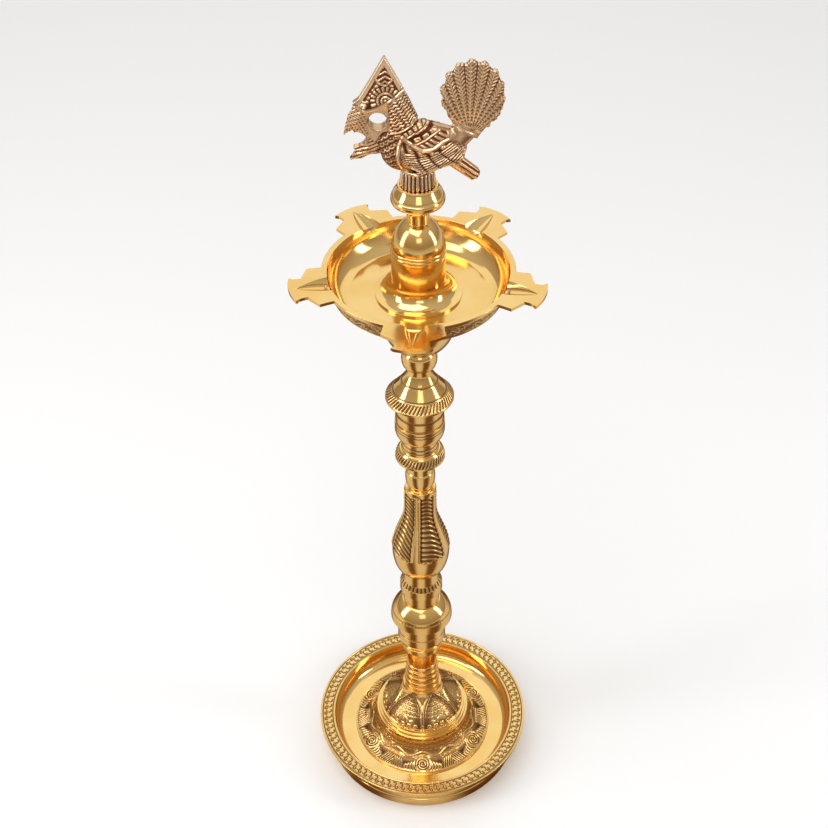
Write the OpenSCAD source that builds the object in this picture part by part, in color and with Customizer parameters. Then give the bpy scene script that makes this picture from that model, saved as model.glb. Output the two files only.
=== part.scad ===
// Standing oil lamp of screwed-together turned brass sections: a footed drip tray, a stem of
// balusters and knops, a shallow bowl with wick spouts, a column and a cast bird finial.
// Millimetres, +Z up, origin on the lamp's axis at the level it stands on.

/* [Drip tray] */
// Outside diameter of the tray's flat rim
tray_d = 140; // [134:1:180]
// Height of the rim's top above the table
tray_h = 22; // [18:0.5:30]
// Width of the flat engraved rim
rim_w = 10; // [6:0.5:12]
// Thickness of the rim's lip
rim_t = 2.4; // [1.5:0.1:4]
// How far the foot ring's fullest part lies inside the rim's edge
foot_inset = 6; // [3:0.5:9]
// Wall of the foot ring
foot_t = 4.5; // [3:0.5:6]
// Height of the foot ring's rounded bead
foot_h = 7; // [4:0.5:9]
// How far the foot's bead swells
foot_swell = 1.2; // [0.5:0.1:2]
// Height of the trough's floor above the table
trough_z = 11; // [8:0.5:14]
// Width of the trough's curved wall below the rim
trough_wall_w = 6; // [3:0.5:8]
// Wall of the hollow casting
casting_t = 2.5; // [2:0.1:3.5]

/* [Dome] */
// Diameter of the engraved skirt where it meets the trough's floor
skirt_d = 91.4; // [76:0.2:98]
// Height of the skirt's outer edge
skirt_edge_h = 1.6; // [0.8:0.1:2.5]
// Rise of the skirt from the trough's floor to the stepped rings
skirt_h = 15.5; // [12:0.5:20]
// Number of stepped rings
step_count = 3; // [2:1:4]
// Height of one step
step_h = 2.4; // [1.5:0.1:3]
// Width of one step
step_w = 1.3; // [0.8:0.1:2]
// Diameter of the dome at its foot
dome_d = 54; // [44:0.5:66]
// Height of the dome
dome_h = 20.8; // [17:0.1:26]
// Diameter of the seat on top of the dome
seat_d = 25.4; // [24.5:0.1:32]

/* [Screwed joints] */
// Diameter of the threaded studs in the stem
stud_d = 8; // [6.5:0.5:10]
// Diameter of the threaded stud under the finial
finial_stud_d = 6; // [5:0.5:7.5]
// Depth that each stud screws into each piece, at a thread pitch of 1.5
stud_engagement = 8; // [6:0.1:9.6]
// Chamfer on a stud's ends
stud_chamfer = 0.8; // [0.4:0.1:1.2]
// Space left past a stud's end
stud_end_gap = 0.5; // [0.3:0.1:1]
// Running clearance of a stud in its socket, on the radius
thread_clearance = 0.05; // [0.02:0.01:0.1]
// Metal left around a socket inside the hollow dome
boss_t = 4; // [3:0.5:6]

/* [Lower stem] */
// Diameter of the stem's foot flange
stem_foot_d = 24; // [20:0.5:24.4]
// Height of the foot flange
stem_foot_h = 2.5; // [1.5:0.1:4]
// Number of rings that step in above the flange
stem_ring_count = 4; // [2:1:6]
// Height of one of these rings
stem_ring_h = 4.6; // [3:0.1:6]
// Diameter of the plain neck
stem_neck_d = 18.6; // [15:0.2:20]
// Height of the plain neck
stem_neck_h = 12.5; // [8:0.5:18]
// Height of the flare above the neck
stem_flare_h = 5; // [3:0.5:8]
// Diameter of the collar on the flare
stem_collar_d = 26.4; // [22:0.2:30]
// Height of the collar
stem_collar_h = 4; // [2:0.5:6]
// Diameter of the drum under the bulb
drum_d = 30.6; // [27:0.2:34]
// Height of the flare under the drum
drum_flare_h = 6; // [4:0.5:8]
// Height of the drum
drum_h = 18.5; // [14:0.5:24]
// Diameter of the bulb
bulb_d = 39; // [35:0.5:48]
// Height of the bulb's rounded top
bulb_h = 14; // [11:0.5:18]
// Thickness of the bulb's edge
bulb_edge = 1.5; // [0.8:0.1:3]
// Diameter of the face on top of the bulb
stem_top_d = 24; // [20:0.5:28]

/* [Leaf baluster] */
// Diameter of the waist under the nicked ring
leaf_waist_d = 23; // [19:0.5:24]
// Height of that waist
leaf_waist_h = 10.5; // [7:0.5:14]
// Diameter of the nicked ring
leaf_ring_d = 26.6; // [24.5:0.2:32]
// Height of the nicked ring's side
leaf_ring_h = 5; // [3:0.5:7]
// Height of the ring's sloping shoulder
leaf_shoulder_h = 5.5; // [4:0.5:8]
// Diameter of the neck under the vase
leaf_neck_d = 22.4; // [19:0.2:24]
// Height of that neck
leaf_neck_h = 8; // [5:0.5:12]
// Greatest diameter of the leaf-carved vase
vase_d = 35.4; // [30:0.2:44]
// Height of the vase's rounded bottom
vase_low_h = 18; // [14:0.5:24]
// Height of the vase's drawn-in top
vase_top_h = 36; // [30:0.5:46]
// Diameter of the throat above the vase
throat_d = 19; // [17:0.2:24]
// Height of the throat
throat_h = 10.6; // [6:0.1:14]
// Height of the beaded collar on top
leaf_collar_h = 5; // [3:0.5:7]
// How far that collar swells
leaf_collar_swell = 0.5; // [0.2:0.1:1]

/* [Saucer section] */
// Diameter of the thin neck
saucer_neck_d = 15.6; // [14:0.2:18]
// Height of the neck below its bead
saucer_neck_h = 3; // [2:0.5:5]
// Height of the bead on the neck
neck_bead_h = 10.5; // [7:0.5:14]
// How far the bead swells
neck_bead_swell = 1.1; // [0.5:0.1:2]
// Height of the neck between the bead and the saucer
saucer_stalk_h = 7; // [5:0.5:10]
// Height of the hollow under the saucer
saucer_under_h = 3.5; // [2:0.5:5]
// Diameter of the saucer
saucer_d = 29.1; // [26:0.1:36]
// Thickness of the saucer's edge
saucer_edge = 1.2; // [0.8:0.1:2]
// Height of the saucer's rounded, nicked shoulder
saucer_shoulder_h = 6.3; // [4:0.1:8]
// Diameter of the ring on top of the shoulder
saucer_ring_d = 23.6; // [20.5:0.2:25]
// Height of the slope above that ring
saucer_top_h = 8; // [5:0.5:11]
// Diameter of the saucer section's top face
saucer_top_d = 19; // [16:0.2:20]

/* [Bell knop] */
// Height of the spool's rounded bottom
spool_round_h = 7; // [5:0.5:10]
// Diameter of the spool
spool_d = 28.8; // [26:0.2:34]
// Height of the spool's lower ring
spool_h = 6; // [4:0.5:8]
// Depth of the turned grooves
groove_depth = 0.8; // [0.3:0.1:1.2]
// Height of the turned grooves
groove_h = 1.4; // [0.8:0.1:2]
// Height of the drum above the groove
spool_drum_h = 15.6; // [11:0.1:19]
// Height of the drum's own groove above the lower groove
spool_band_h = 5.2; // [3:0.1:7]
// Diameter of the bell's nicked edge
bell_d = 39; // [35:0.5:48]
// Thickness of the bell's edge
bell_edge = 1.2; // [0.8:0.1:2]
// Height of the bell's slope up to its neck
bell_h = 17.8; // [13:0.1:23]
// How hollow that slope is: 1 is a straight cone
bell_hollow = 1.25; // [1:0.05:1.6]
// Diameter of the bell's neck
bell_neck_d = 14; // [13:0.2:16]
// Height of the bell's neck
bell_neck_h = 1.5; // [0.5:0.5:4]

/* [Oil bowl] */
// Diameter of the bowl's rim
bowl_d = 102.8; // [88:0.2:126]
// Width of the flat rim
bowl_rim_w = 3.2; // [2:0.1:5]
// Thickness of the rim
bowl_rim_t = 2; // [1.2:0.1:3]
// Depth of the bowl
bowl_depth = 14.9; // [11:0.1:20]
// How far the bowl's flat floor lies inside the rim's edge
bowl_floor_inset = 14.4; // [12:0.1:18]
// How far the foot of the etched outer wall lies inside the rim's edge
bowl_wall_inset = 6.6; // [4:0.1:7]
// How far the bowl's floor lies below the foot of the etched wall
bowl_floor_drop = 1.5; // [0.5:0.1:3]
// Slope under the foot of the etched wall
bowl_ledge = 2; // [1:0.1:3]
// How far the rim stands out past the etched wall
bowl_rim_lip = 1; // [0.5:0.1:1.5]
// Height of the curve from the cup out to the wall's foot
bowl_under_h = 17.5; // [14:0.5:22]
// Diameter of the cup under the bowl
cup_d = 41; // [35:0.5:50]
// Height of the cup
cup_h = 20.5; // [16:0.5:26]
// Diameter of the ball's necks
ball_neck_d = 15; // [13:0.2:18]
// Height of the ball under the cup
ball_h = 12.5; // [9:0.5:15]
// How far the ball swells
ball_swell = 2.6; // [1.5:0.1:4]
// Height of the plain neck below and above the ball
ball_neck_h = 1.5; // [0.5:0.5:3]

/* [Wick spouts] */
// Number of spouts
spout_count = 5; // [3:1:7]
// Bearing of the first spout, from the +X axis
spout_bearing = -93; // [-180:1:180]
// How far a spout's tip reaches past the bowl's rim
spout_len = 18.2; // [14:0.2:24]
// Thickness of a spout's plate
spout_t = 1.8; // [1.2:0.1:2.5]
// Half width of a spout's tip
spout_tip_w = 10.6; // [8:0.2:13]
// How far the tip's corners lie behind its middle
spout_tip_sag = 2; // [1:0.1:4]
// Half width of the waist between tip and ears
spout_waist_w = 8.4; // [6.5:0.1:9]
// Half width across the pointed ears
spout_ear_w = 16.4; // [13:0.2:19]
// Distance of the waist behind the tip
spout_waist_back = 8.2; // [6:0.1:10]
// Distance of the ears behind the tip
spout_ear_back = 13; // [11:0.2:15]
// Half width of the spout where it leaves the rim
spout_root_w = 15; // [12:0.2:17]
// Width of the wick groove where it opens into the bowl
groove_w = 12; // [8:0.2:14]
// Depth of the wick groove there
wick_groove_depth = 4; // [3:0.1:5]
// Radius of the groove's rounded point
groove_tip_r = 0.6; // [0.4:0.1:1.2]
// How far the groove's open end lies inside the rim's edge
groove_inset = 4.8; // [4:0.1:6]
// Plain metal left between the groove's point and the tip
groove_margin = 4; // [3:0.2:7]

/* [Column] */
// Diameter of the column's foot flange
column_foot_d = 46.8; // [40:0.2:56]
// Thickness of the foot flange
column_foot_t = 1.2; // [0.8:0.1:2]
// Height of the flare above the flange
column_flare_h = 9.5; // [7:0.5:13]
// Diameter of the column
column_d = 29.2; // [25:0.2:34]
// Height of the plain column
column_h = 15; // [11:0.5:20]
// Height of each raised ring at the joint
column_ring_h = 2.2; // [1.5:0.1:3]
// How far each raised ring swells
column_ring_swell = 0.5; // [0.2:0.1:1]
// Height of the rounded shoulder
shoulder_h = 15.5; // [12:0.5:20]
// Diameter of the neck above the shoulder
cap_neck_d = 11.8; // [10:0.2:14]
// Height of that neck
cap_neck_h = 5; // [3:0.5:8]
// Height of the hollow under the collar
collar_under_h = 6.5; // [4:0.5:9]
// Diameter of the collar
collar_d = 28; // [25:0.2:34]
// Height of the collar's rounded edge
collar_edge_h = 4; // [2.5:0.5:6]
// How far the collar's edge swells
collar_swell = 0.8; // [0.4:0.1:1.5]
// Height of the collar's sloping top
collar_top_h = 6.3; // [4:0.1:9]
// Width of the lip around the finial's seat
collar_lip = 1.1; // [0.6:0.1:2]
// Depth of the finial's seat
finial_seat_depth = 1.5; // [0.8:0.1:2.5]
// Gap around the finial's foot in its seat
finial_gap = 0.5; // [0.3:0.1:0.8]

/* [Bird finial] */
// Height of the crest's tip above the finial's seat
bird_h = 71.6; // [64:0.1:84]
// Diameter of the ribbed foot
bird_foot_d = 17.6; // [15.5:0.1:21.2]
// Height of the ribbed foot
bird_foot_h = 12; // [10:0.5:14]
// Height of the straight edge at the bottom of the foot
bird_foot_edge_h = 1; // [0.5:0.1:2]
// How far the foot tapers in
bird_foot_taper = 0.6; // [0.2:0.1:1.5]
// Thickness of the head, crest and beak
head_t = 7; // [5:0.5:9]
// Radius of the hole between beak and neck
throat_hole_r = 4.7; // [3.5:0.1:5.2]
// Radius of the open mouth
mouth_r = 3.7; // [3:0.1:4.2]
// Thickness of the neck where it leaves the body
neck_root_t = 15.2; // [12:0.2:18]
// Thickness of the neck at the nape
nape_t = 9.8; // [8:0.2:13]
// Thickness of the body
body_t = 19; // [15:0.5:21]
// Thickness of the rump
rump_t = 11.4; // [9:0.2:14]
// Thickness across both wings
wing_span_t = 22.5; // [21:0.5:26]
// Thickness of each wing at its shoulder
wing_shoulder_t = 15.2; // [12:0.2:18]
// Thickness of each wing at its fullest
wing_middle_t = 17.1; // [14:0.2:19]
// Thickness of each wing at its tip
wing_tip_t = 9.5; // [6:0.1:12]
// Thickness of the tail where it leaves the rump
tail_root_t = 10; // [8:0.2:13]
// Thickness of the tail under its fan
tail_neck_t = 6; // [5:0.2:9]
// Thickness of the short lower feather at its root
stub_root_t = 8; // [6:0.2:10]
// Thickness of the short lower feather at its tip
stub_tip_t = 7; // [4:0.2:9]
// Thickness of the tail fan
fan_t = 5; // [3.5:0.5:7]
// Half width of the tail fan
fan_rx = 15; // [12:0.2:18]
// Half height of the tail fan
fan_rz = 18.2; // [15:0.2:22]
// Number of scallops round the fan's edge
fan_scallops = 14; // [10:1:18]
// Depth of the scallops
scallop_depth = 1; // [0.4:0.1:1.5]

/* [Hidden] */
$fn = 96;
hull_fn = 24;
arc_steps = 8;
overcut = 1;

tray_r = tray_d / 2;
foot_r = tray_r - foot_inset - foot_swell;
rim_inner_r = tray_r - rim_w;
trough_r = rim_inner_r - trough_wall_w;
dome_r = dome_d / 2;
step_r = dome_r + step_count * step_w;
skirt_top_z = trough_z + skirt_h;
dome_z = skirt_top_z + step_count * step_h;
bowl_r = bowl_d / 2;
bowl_wall_h = bowl_depth - bowl_floor_drop - bowl_rim_t;
spout_reach = bowl_r + spout_len;
groove_len = spout_len - groove_margin + groove_inset;
socket_depth = stud_engagement + stud_end_gap;
boss_r = stud_d / 2 + boss_t;

// Levels of the faces where the sections screw together
stem_z = dome_z + dome_h;
stem_collar_z = stem_z + stem_foot_h + stem_ring_count * stem_ring_h + stem_neck_h + stem_flare_h;
drum_z = stem_collar_z + stem_collar_h + drum_flare_h;
bulb_z = drum_z + drum_h;
leaf_z = bulb_z + bulb_edge + bulb_h;
leaf_ring_z = leaf_z + leaf_waist_h;
vase_z = leaf_ring_z + leaf_ring_h + leaf_shoulder_h + leaf_neck_h;
throat_z = vase_z + vase_low_h + vase_top_h;
saucer_z = throat_z + throat_h + leaf_collar_h;
saucer_stalk_z = saucer_z + saucer_neck_h + neck_bead_h;
saucer_edge_z = saucer_stalk_z + saucer_stalk_h + saucer_under_h;
knop_z = saucer_edge_z + saucer_edge + saucer_shoulder_h + saucer_top_h;
spool_z = knop_z + spool_round_h + spool_h;
bell_z = spool_z + groove_h + spool_drum_h;
bell_neck_z = bell_z + bell_edge + bell_h;
bowl_z = bell_neck_z + bell_neck_h;
cup_z = bowl_z + ball_h + 2 * ball_neck_h;
bowl_wall_z = cup_z + cup_h + bowl_under_h;
bowl_rim_z = bowl_wall_z + bowl_wall_h + bowl_rim_t;
column_z = bowl_rim_z - bowl_depth;
cap_z = column_z + column_foot_t + column_flare_h + column_h + column_ring_h;
collar_z = cap_z + column_ring_h + shoulder_h + cap_neck_h + collar_under_h;
bird_z = collar_z + collar_edge_h + collar_top_h - finial_seat_depth;

// Outline stretches of a turned profile, as [radius, height] points.
// A bead that swells from a straight side
function bead(r, z, h, swell) =
    [for (i = [0:arc_steps]) let (a = 180 * i / arc_steps) [r + swell * sin(a), z + h * (1 - cos(a)) / 2]];
// An S-curve, upright at both ends
function ogee(r0, z0, r1, z1) =
    [for (i = [0:2 * arc_steps]) let (t = i / (2 * arc_steps))
        [r0 + (r1 - r0) * (1 - cos(180 * t)) / 2, z0 + (z1 - z0) * t]];
// A quarter ellipse, upright at its start and level at its end
function upright_to_level(r0, z0, r1, z1) =
    [for (i = [0:arc_steps]) let (a = 90 * i / arc_steps)
        [r0 + (r1 - r0) * (1 - cos(a)), z0 + (z1 - z0) * sin(a)]];
// A quarter ellipse, level at its start and upright at its end
function level_to_upright(r0, z0, r1, z1) =
    [for (i = [0:arc_steps]) let (a = 90 * i / arc_steps)
        [r0 + (r1 - r0) * sin(a), z0 + (z1 - z0) * (1 - cos(a))]];
// The top of an ellipse, from its widest ring up to a smaller one
function domed(r0, z0, r1, h) =
    let (end = acos(r1 / r0))
    [for (i = [0:arc_steps]) let (a = end * i / arc_steps) [r0 * cos(a), z0 + h * sin(a) / sin(end)]];
// A cone with a hollow flank, the narrower the steeper
function hollow_cone(r0, z0, r1, z1, hollow) =
    [for (i = [0:arc_steps]) let (t = i / arc_steps) [r1 + (r0 - r1) * pow(1 - t, hollow), z0 + (z1 - z0) * t]];
// Rings that step in one after another
function steps(r, z, count, w, h) =
    [for (i = [0:count - 1], top = [0, 1]) [r - i * w, z + (i + top) * h]];

// A solid of revolution under an open profile, closed along the axis
module turned(profile) {
    last = len(profile) - 1;
    rotate_extrude()
        polygon(concat([[0, profile[0][1]]], profile, [[0, profile[last][1]]]));
}

// A blind socket that opens downwards at height z
module socket_above(z, d)
    translate([0, 0, z - overcut])
        cylinder(d = d + 2 * thread_clearance, h = socket_depth + overcut);

// A blind socket that opens upwards at height z
module socket_below(z, d)
    translate([0, 0, z - socket_depth])
        cylinder(d = d + 2 * thread_clearance, h = socket_depth + overcut);

// A stud centred on the joint at height z
module stud(z, d)
    turned([[d / 2 - stud_chamfer, z - stud_engagement],
            [d / 2, z - stud_engagement + stud_chamfer],
            [d / 2, z + stud_engagement - stud_chamfer],
            [d / 2 - stud_chamfer, z + stud_engagement]]);

brass = "#d8a53a";
stud_brass = "#b8893a";
antique_brass = "#9a6138";

// Tray, skirt and dome are one hollow casting that stands on its foot ring
module drip_tray() {
    top = concat(
        bead(foot_r, 0, foot_h, foot_swell),
        upright_to_level(foot_r, foot_h, tray_r, tray_h - rim_t),
        [[tray_r, tray_h]],
        upright_to_level(rim_inner_r, tray_h, trough_r, trough_z),
        [[skirt_d / 2, trough_z]],
        level_to_upright(skirt_d / 2, trough_z + skirt_edge_h, step_r, skirt_top_z),
        steps(step_r, skirt_top_z, step_count, step_w, step_h),
        ogee(dome_r, dome_z, seat_d / 2, stem_z));
    under_z = trough_z - casting_t;
    hollow = concat(
        [[foot_r - foot_t, -overcut], [foot_r - foot_t, under_z]],
        level_to_upright(skirt_d / 2 - casting_t, under_z, step_r - casting_t, skirt_top_z - casting_t),
        ogee(dome_r - casting_t, dome_z - casting_t, boss_r, stem_z - casting_t - boss_t),
        [[boss_r, stem_z - socket_depth - casting_t]]);
    color(brass)
    difference() {
        turned(top);
        turned(hollow);
        socket_below(stem_z, stud_d);
    }
}

module tray_stud() color(stud_brass) stud(stem_z, stud_d);

module lower_stem() {
    foot_r = stem_foot_d / 2;
    neck_r = stem_neck_d / 2;
    rings_z = stem_z + stem_foot_h;
    ring_in = (foot_r - neck_r) / (stem_ring_count + 1);
    first_ring_r = foot_r - ring_in * 3 / 2;
    neck_z = rings_z + stem_ring_count * stem_ring_h;
    profile = concat(
        [[foot_r, stem_z], [foot_r, rings_z]],
        [for (i = [0:stem_ring_count - 1])
            each bead(first_ring_r - i * ring_in, rings_z + i * stem_ring_h, stem_ring_h, ring_in)],
        [[neck_r, neck_z]],
        upright_to_level(neck_r, neck_z + stem_neck_h, stem_collar_d / 2, stem_collar_z),
        [[stem_collar_d / 2, stem_collar_z + stem_collar_h]],
        upright_to_level(stem_collar_d / 2 - groove_depth, stem_collar_z + stem_collar_h, drum_d / 2, drum_z),
        [[drum_d / 2, drum_z + drum_flare_h],
         [drum_d / 2 - groove_depth, drum_z + drum_flare_h],
         [drum_d / 2 - groove_depth, drum_z + drum_flare_h + groove_h],
         [drum_d / 2, drum_z + drum_flare_h + groove_h],
         [drum_d / 2, bulb_z],
         [bulb_d / 2, bulb_z]],
        domed(bulb_d / 2, bulb_z + bulb_edge, stem_top_d / 2, bulb_h));
    color(brass)
    difference() {
        turned(profile);
        socket_above(stem_z, stud_d);
        socket_below(leaf_z, stud_d);
    }
}

module stem_stud() color(stud_brass) stud(leaf_z, stud_d);

module leaf_baluster() {
    shoulder_z = leaf_ring_z + leaf_ring_h;
    widest_z = vase_z + vase_low_h;
    profile = concat(
        [[leaf_waist_d / 2, leaf_z], [leaf_waist_d / 2, leaf_ring_z], [leaf_ring_d / 2, leaf_ring_z]],
        ogee(leaf_ring_d / 2, shoulder_z, leaf_neck_d / 2, shoulder_z + leaf_shoulder_h),
        level_to_upright(leaf_neck_d / 2, vase_z, vase_d / 2, widest_z),
        ogee(vase_d / 2, widest_z, throat_d / 2, throat_z),
        [[throat_d / 2, throat_z + throat_h]],
        bead(throat_d / 2 - leaf_collar_swell, throat_z + throat_h, leaf_collar_h, leaf_collar_swell));
    color(brass)
    difference() {
        turned(profile);
        socket_above(leaf_z, stud_d);
        socket_below(saucer_z, stud_d);
    }
}

module leaf_stud() color(stud_brass) stud(saucer_z, stud_d);

module saucer_section() {
    neck_r = saucer_neck_d / 2;
    edge_top_z = saucer_edge_z + saucer_edge;
    profile = concat(
        [[neck_r, saucer_z]],
        bead(neck_r, saucer_z + saucer_neck_h, neck_bead_h, neck_bead_swell),
        upright_to_level(neck_r, saucer_stalk_z + saucer_stalk_h, saucer_d / 2, saucer_edge_z),
        domed(saucer_d / 2, edge_top_z, saucer_ring_d / 2, saucer_shoulder_h),
        ogee(saucer_ring_d / 2 - groove_depth, edge_top_z + saucer_shoulder_h, saucer_top_d / 2, knop_z));
    color(brass)
    difference() {
        turned(profile);
        socket_above(saucer_z, stud_d);
        socket_below(knop_z, stud_d);
    }
}

module saucer_stud() color(stud_brass) stud(knop_z, stud_d);

module bell_knop() {
    drum_r = spool_d / 2 - groove_depth / 2;
    band_z = spool_z + groove_h + spool_band_h;
    profile = concat(
        level_to_upright(saucer_top_d / 2, knop_z, spool_d / 2, knop_z + spool_round_h),
        [[spool_d / 2, spool_z],
         [drum_r - groove_depth, spool_z],
         [drum_r - groove_depth, spool_z + groove_h],
         [drum_r, spool_z + groove_h],
         [drum_r, band_z],
         [drum_r - groove_depth, band_z],
         [drum_r - groove_depth, band_z + groove_h],
         [drum_r, band_z + groove_h],
         [drum_r, bell_z],
         [bell_d / 2, bell_z]],
        hollow_cone(bell_d / 2, bell_z + bell_edge, bell_neck_d / 2, bell_neck_z, bell_hollow),
        [[bell_neck_d / 2, bowl_z]]);
    color(brass)
    difference() {
        turned(profile);
        socket_above(knop_z, stud_d);
        socket_below(bowl_z, stud_d);
    }
}

module bowl_stud() color(stud_brass) stud(bowl_z, stud_d);

// The flat plate of one spout, along +X from the bowl's rim
module spout_plate() {
    root_x = bowl_r - bowl_rim_w;
    ear_x = spout_reach - spout_ear_back;
    waist_x = spout_reach - spout_waist_back;
    corner_x = spout_reach - spout_tip_sag;
    // One side of the outline, from the root out to the middle of the tip
    side = concat(
        [[root_x, spout_root_w], [ear_x, spout_ear_w]],
        [for (i = [1:arc_steps]) let (a = 90 * i / arc_steps)
            [ear_x + (waist_x - ear_x) * sin(a),
             spout_waist_w + (spout_ear_w - spout_waist_w) * (1 - sin(a))]],
        [for (i = [1:arc_steps]) let (a = 90 * i / arc_steps)
            [waist_x + (corner_x - waist_x) * sin(a),
             spout_waist_w + (spout_tip_w - spout_waist_w) * (1 - cos(a))]],
        [for (i = [1:arc_steps]) let (v = 1 - i / arc_steps)
            [spout_reach - spout_tip_sag * v * v, spout_tip_w * v]]);
    mirrored = [for (i = [len(side) - 2:-1:0]) [side[i][0], -side[i][1]]];
    translate([0, 0, bowl_rim_z - spout_t])
        linear_extrude(height = spout_t)
            polygon(concat(side, mirrored));
}

// A cone that lies along a spout with its point outwards, grown by the given wall
module groove_cone(wall) {
    point_x = spout_reach - groove_margin;
    // A round of this radius is as wide and as deep as the groove where it opens
    open_r = (groove_w * groove_w / 4 + wick_groove_depth * wick_groove_depth) / (2 * wick_groove_depth);
    tilt = atan((open_r - wick_groove_depth) / groove_len);
    length = groove_len / cos(tilt);
    translate([point_x, 0, bowl_rim_z])
        rotate([0, tilt - 90, 0])
            cylinder(r1 = groove_tip_r + wall, r2 = open_r + wall, h = length);
}

// The boat-shaped underside of the wick groove, below the spout's plate
module groove_hull() {
    box_d = 2 * spout_reach;
    intersection() {
        groove_cone(spout_t);
        translate([0, -box_d / 2, bowl_rim_z - box_d])
            cube([box_d, box_d, box_d - spout_t / 2]);
    }
}

module at_spouts()
    for (i = [0:spout_count - 1])
        rotate([0, 0, spout_bearing + i * 360 / spout_count])
            children();

// One casting: ball, cup, etched wall, flat rim and wick spouts
module oil_bowl() {
    neck_r = ball_neck_d / 2;
    ball_z = bowl_z + ball_neck_h;
    cup_top_z = cup_z + cup_h;
    wall_r = bowl_r - bowl_wall_inset;
    floor_r = bowl_r - bowl_floor_inset;
    brim_r = bowl_r - bowl_rim_w;
    outside = concat(
        [[neck_r, bowl_z]],
        bead(neck_r, ball_z, ball_h, ball_swell),
        level_to_upright(neck_r, cup_z, cup_d / 2, cup_top_z),
        upright_to_level(cup_d / 2, cup_top_z, wall_r - bowl_ledge, bowl_wall_z - bowl_ledge),
        [[wall_r, bowl_wall_z],
         [bowl_r - bowl_rim_lip, bowl_rim_z - bowl_rim_t],
         [bowl_r, bowl_rim_z - bowl_rim_t],
         [bowl_r, bowl_rim_z]]);
    inside = concat(
        level_to_upright(floor_r, column_z, brim_r, bowl_rim_z),
        [[brim_r, bowl_rim_z + overcut]]);
    color(brass)
    difference() {
        union() {
            turned(outside);
            at_spouts() spout_plate();
            at_spouts() groove_hull();
        }
        turned(inside);
        at_spouts() groove_cone(0);
        socket_above(bowl_z, stud_d);
        socket_below(column_z, stud_d);
    }
}

module column_stud() color(stud_brass) stud(column_z, stud_d);

module column_sleeve() {
    flare_z = column_z + column_foot_t;
    ring_z = cap_z - column_ring_h;
    profile = concat(
        [[column_foot_d / 2, column_z]],
        level_to_upright(column_foot_d / 2, flare_z, column_d / 2, flare_z + column_flare_h),
        bead(column_d / 2 - column_ring_swell, ring_z, column_ring_h, column_ring_swell));
    color(brass)
    difference() {
        turned(profile);
        socket_above(column_z, stud_d);
        socket_below(cap_z, stud_d);
    }
}

module cap_stud() color(stud_brass) stud(cap_z, stud_d);

module column_cap() {
    shoulder_r = column_d / 2 - column_ring_swell;
    shoulder_z = cap_z + column_ring_h;
    neck_r = cap_neck_d / 2;
    neck_z = shoulder_z + shoulder_h;
    edge_r = collar_d / 2 - collar_swell;
    seat_r = bird_foot_d / 2 + finial_gap;
    top_z = bird_z + finial_seat_depth;
    profile = concat(
        bead(shoulder_r, cap_z, column_ring_h, column_ring_swell),
        domed(shoulder_r, shoulder_z, neck_r, shoulder_h),
        upright_to_level(neck_r, neck_z + cap_neck_h, edge_r, collar_z),
        bead(edge_r, collar_z, collar_edge_h, collar_swell),
        ogee(edge_r, collar_z + collar_edge_h, seat_r + collar_lip, top_z),
        [[seat_r, top_z], [seat_r, bird_z]]);
    color(brass)
    difference() {
        turned(profile);
        socket_above(cap_z, stud_d);
        socket_below(bird_z, finial_stud_d);
    }
}

module finial_stud() color(stud_brass) stud(bird_z, finial_stud_d);

// The bird's outlines are in its own upright plane: across from the foot's axis, and above its seat.
head_outline = [[-15.4, bird_h], [-22, 60], [-28, 49.8], [-31, 47.4], [-31, 44.6], [-33.6, 40],
                [-36.2, 30], [-34.6, 31.6], [-31.5, 33], [-28.4, 24], [-31.8, 23.4], [-30.2, 20.8],
                [-33.8, 16.4], [-28, 17], [-22, 20], [-14, 22], [-4, 30], [0.5, 39], [-3.9, 49.3],
                [-9.4, 60]];
throat_hole_at = [-19.2, 38.6];
mouth_at = [-28.6, 28.4];
fan_at = [27, 50.2];
fan_root = [[14.5, 43], [19.5, 30], [29.5, 28], [36.5, 38]];

// Middles and radii of the rounded masses that the body is drawn over
breast_at = [-7.5, 21.5];
breast_r = 11;
back_at = [6, 22.5];
back_r = 11.5;
rump_at = [18, 22.5];
rump_r = 6.5;
neck_root_at = [-7.5, 26];
neck_root_r = 9;
nape_at = [-8, 44];
nape_r = 6;
tail_root_at = [16, 23];
tail_root_r = 6;
tail_neck_at = [25.5, 35];
tail_neck_r = 6.5;
stub_root_at = [16, 17];
stub_root_r = 4;
stub_tip_at = [27.6, 7.6];
stub_tip_r = 3.6;
wing_shoulder_at = [-4, 20.5];
wing_shoulder_r = 6.5;
wing_middle_at = [3, 17];
wing_middle_r = 7;
wing_tip_at = [20, 19];
wing_tip_r = 3.4;

// A plate of the given thickness, standing in the bird's plane
module upright_plate(t)
    rotate([90, 0, 0])
        linear_extrude(height = t, center = true)
            children();

// A ball of radius r at [across, up], drawn out or flattened to the given thickness
module lump(at, r, t)
    translate([at[0], 0, at[1]])
        scale([1, t / (2 * r), 1])
            sphere(r = r, $fn = hull_fn);

module fan_outline() {
    points = 4 * fan_scallops;
    translate(fan_at)
        polygon([for (i = [0:points - 1])
            let (a = 360 * i / points, in = scallop_depth * (1 - abs(sin(a * fan_scallops / 2))))
            [(fan_rx - in) * cos(a), (fan_rz - in) * sin(a)]]);
    polygon(fan_root);
}

module wing(side)
    translate([0, side * (wing_span_t - body_t) / 2, 0])
        hull() {
            lump(wing_shoulder_at, wing_shoulder_r, wing_shoulder_t);
            lump(wing_middle_at, wing_middle_r, wing_middle_t);
            lump(wing_tip_at, wing_tip_r, wing_tip_t);
        }

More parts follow.
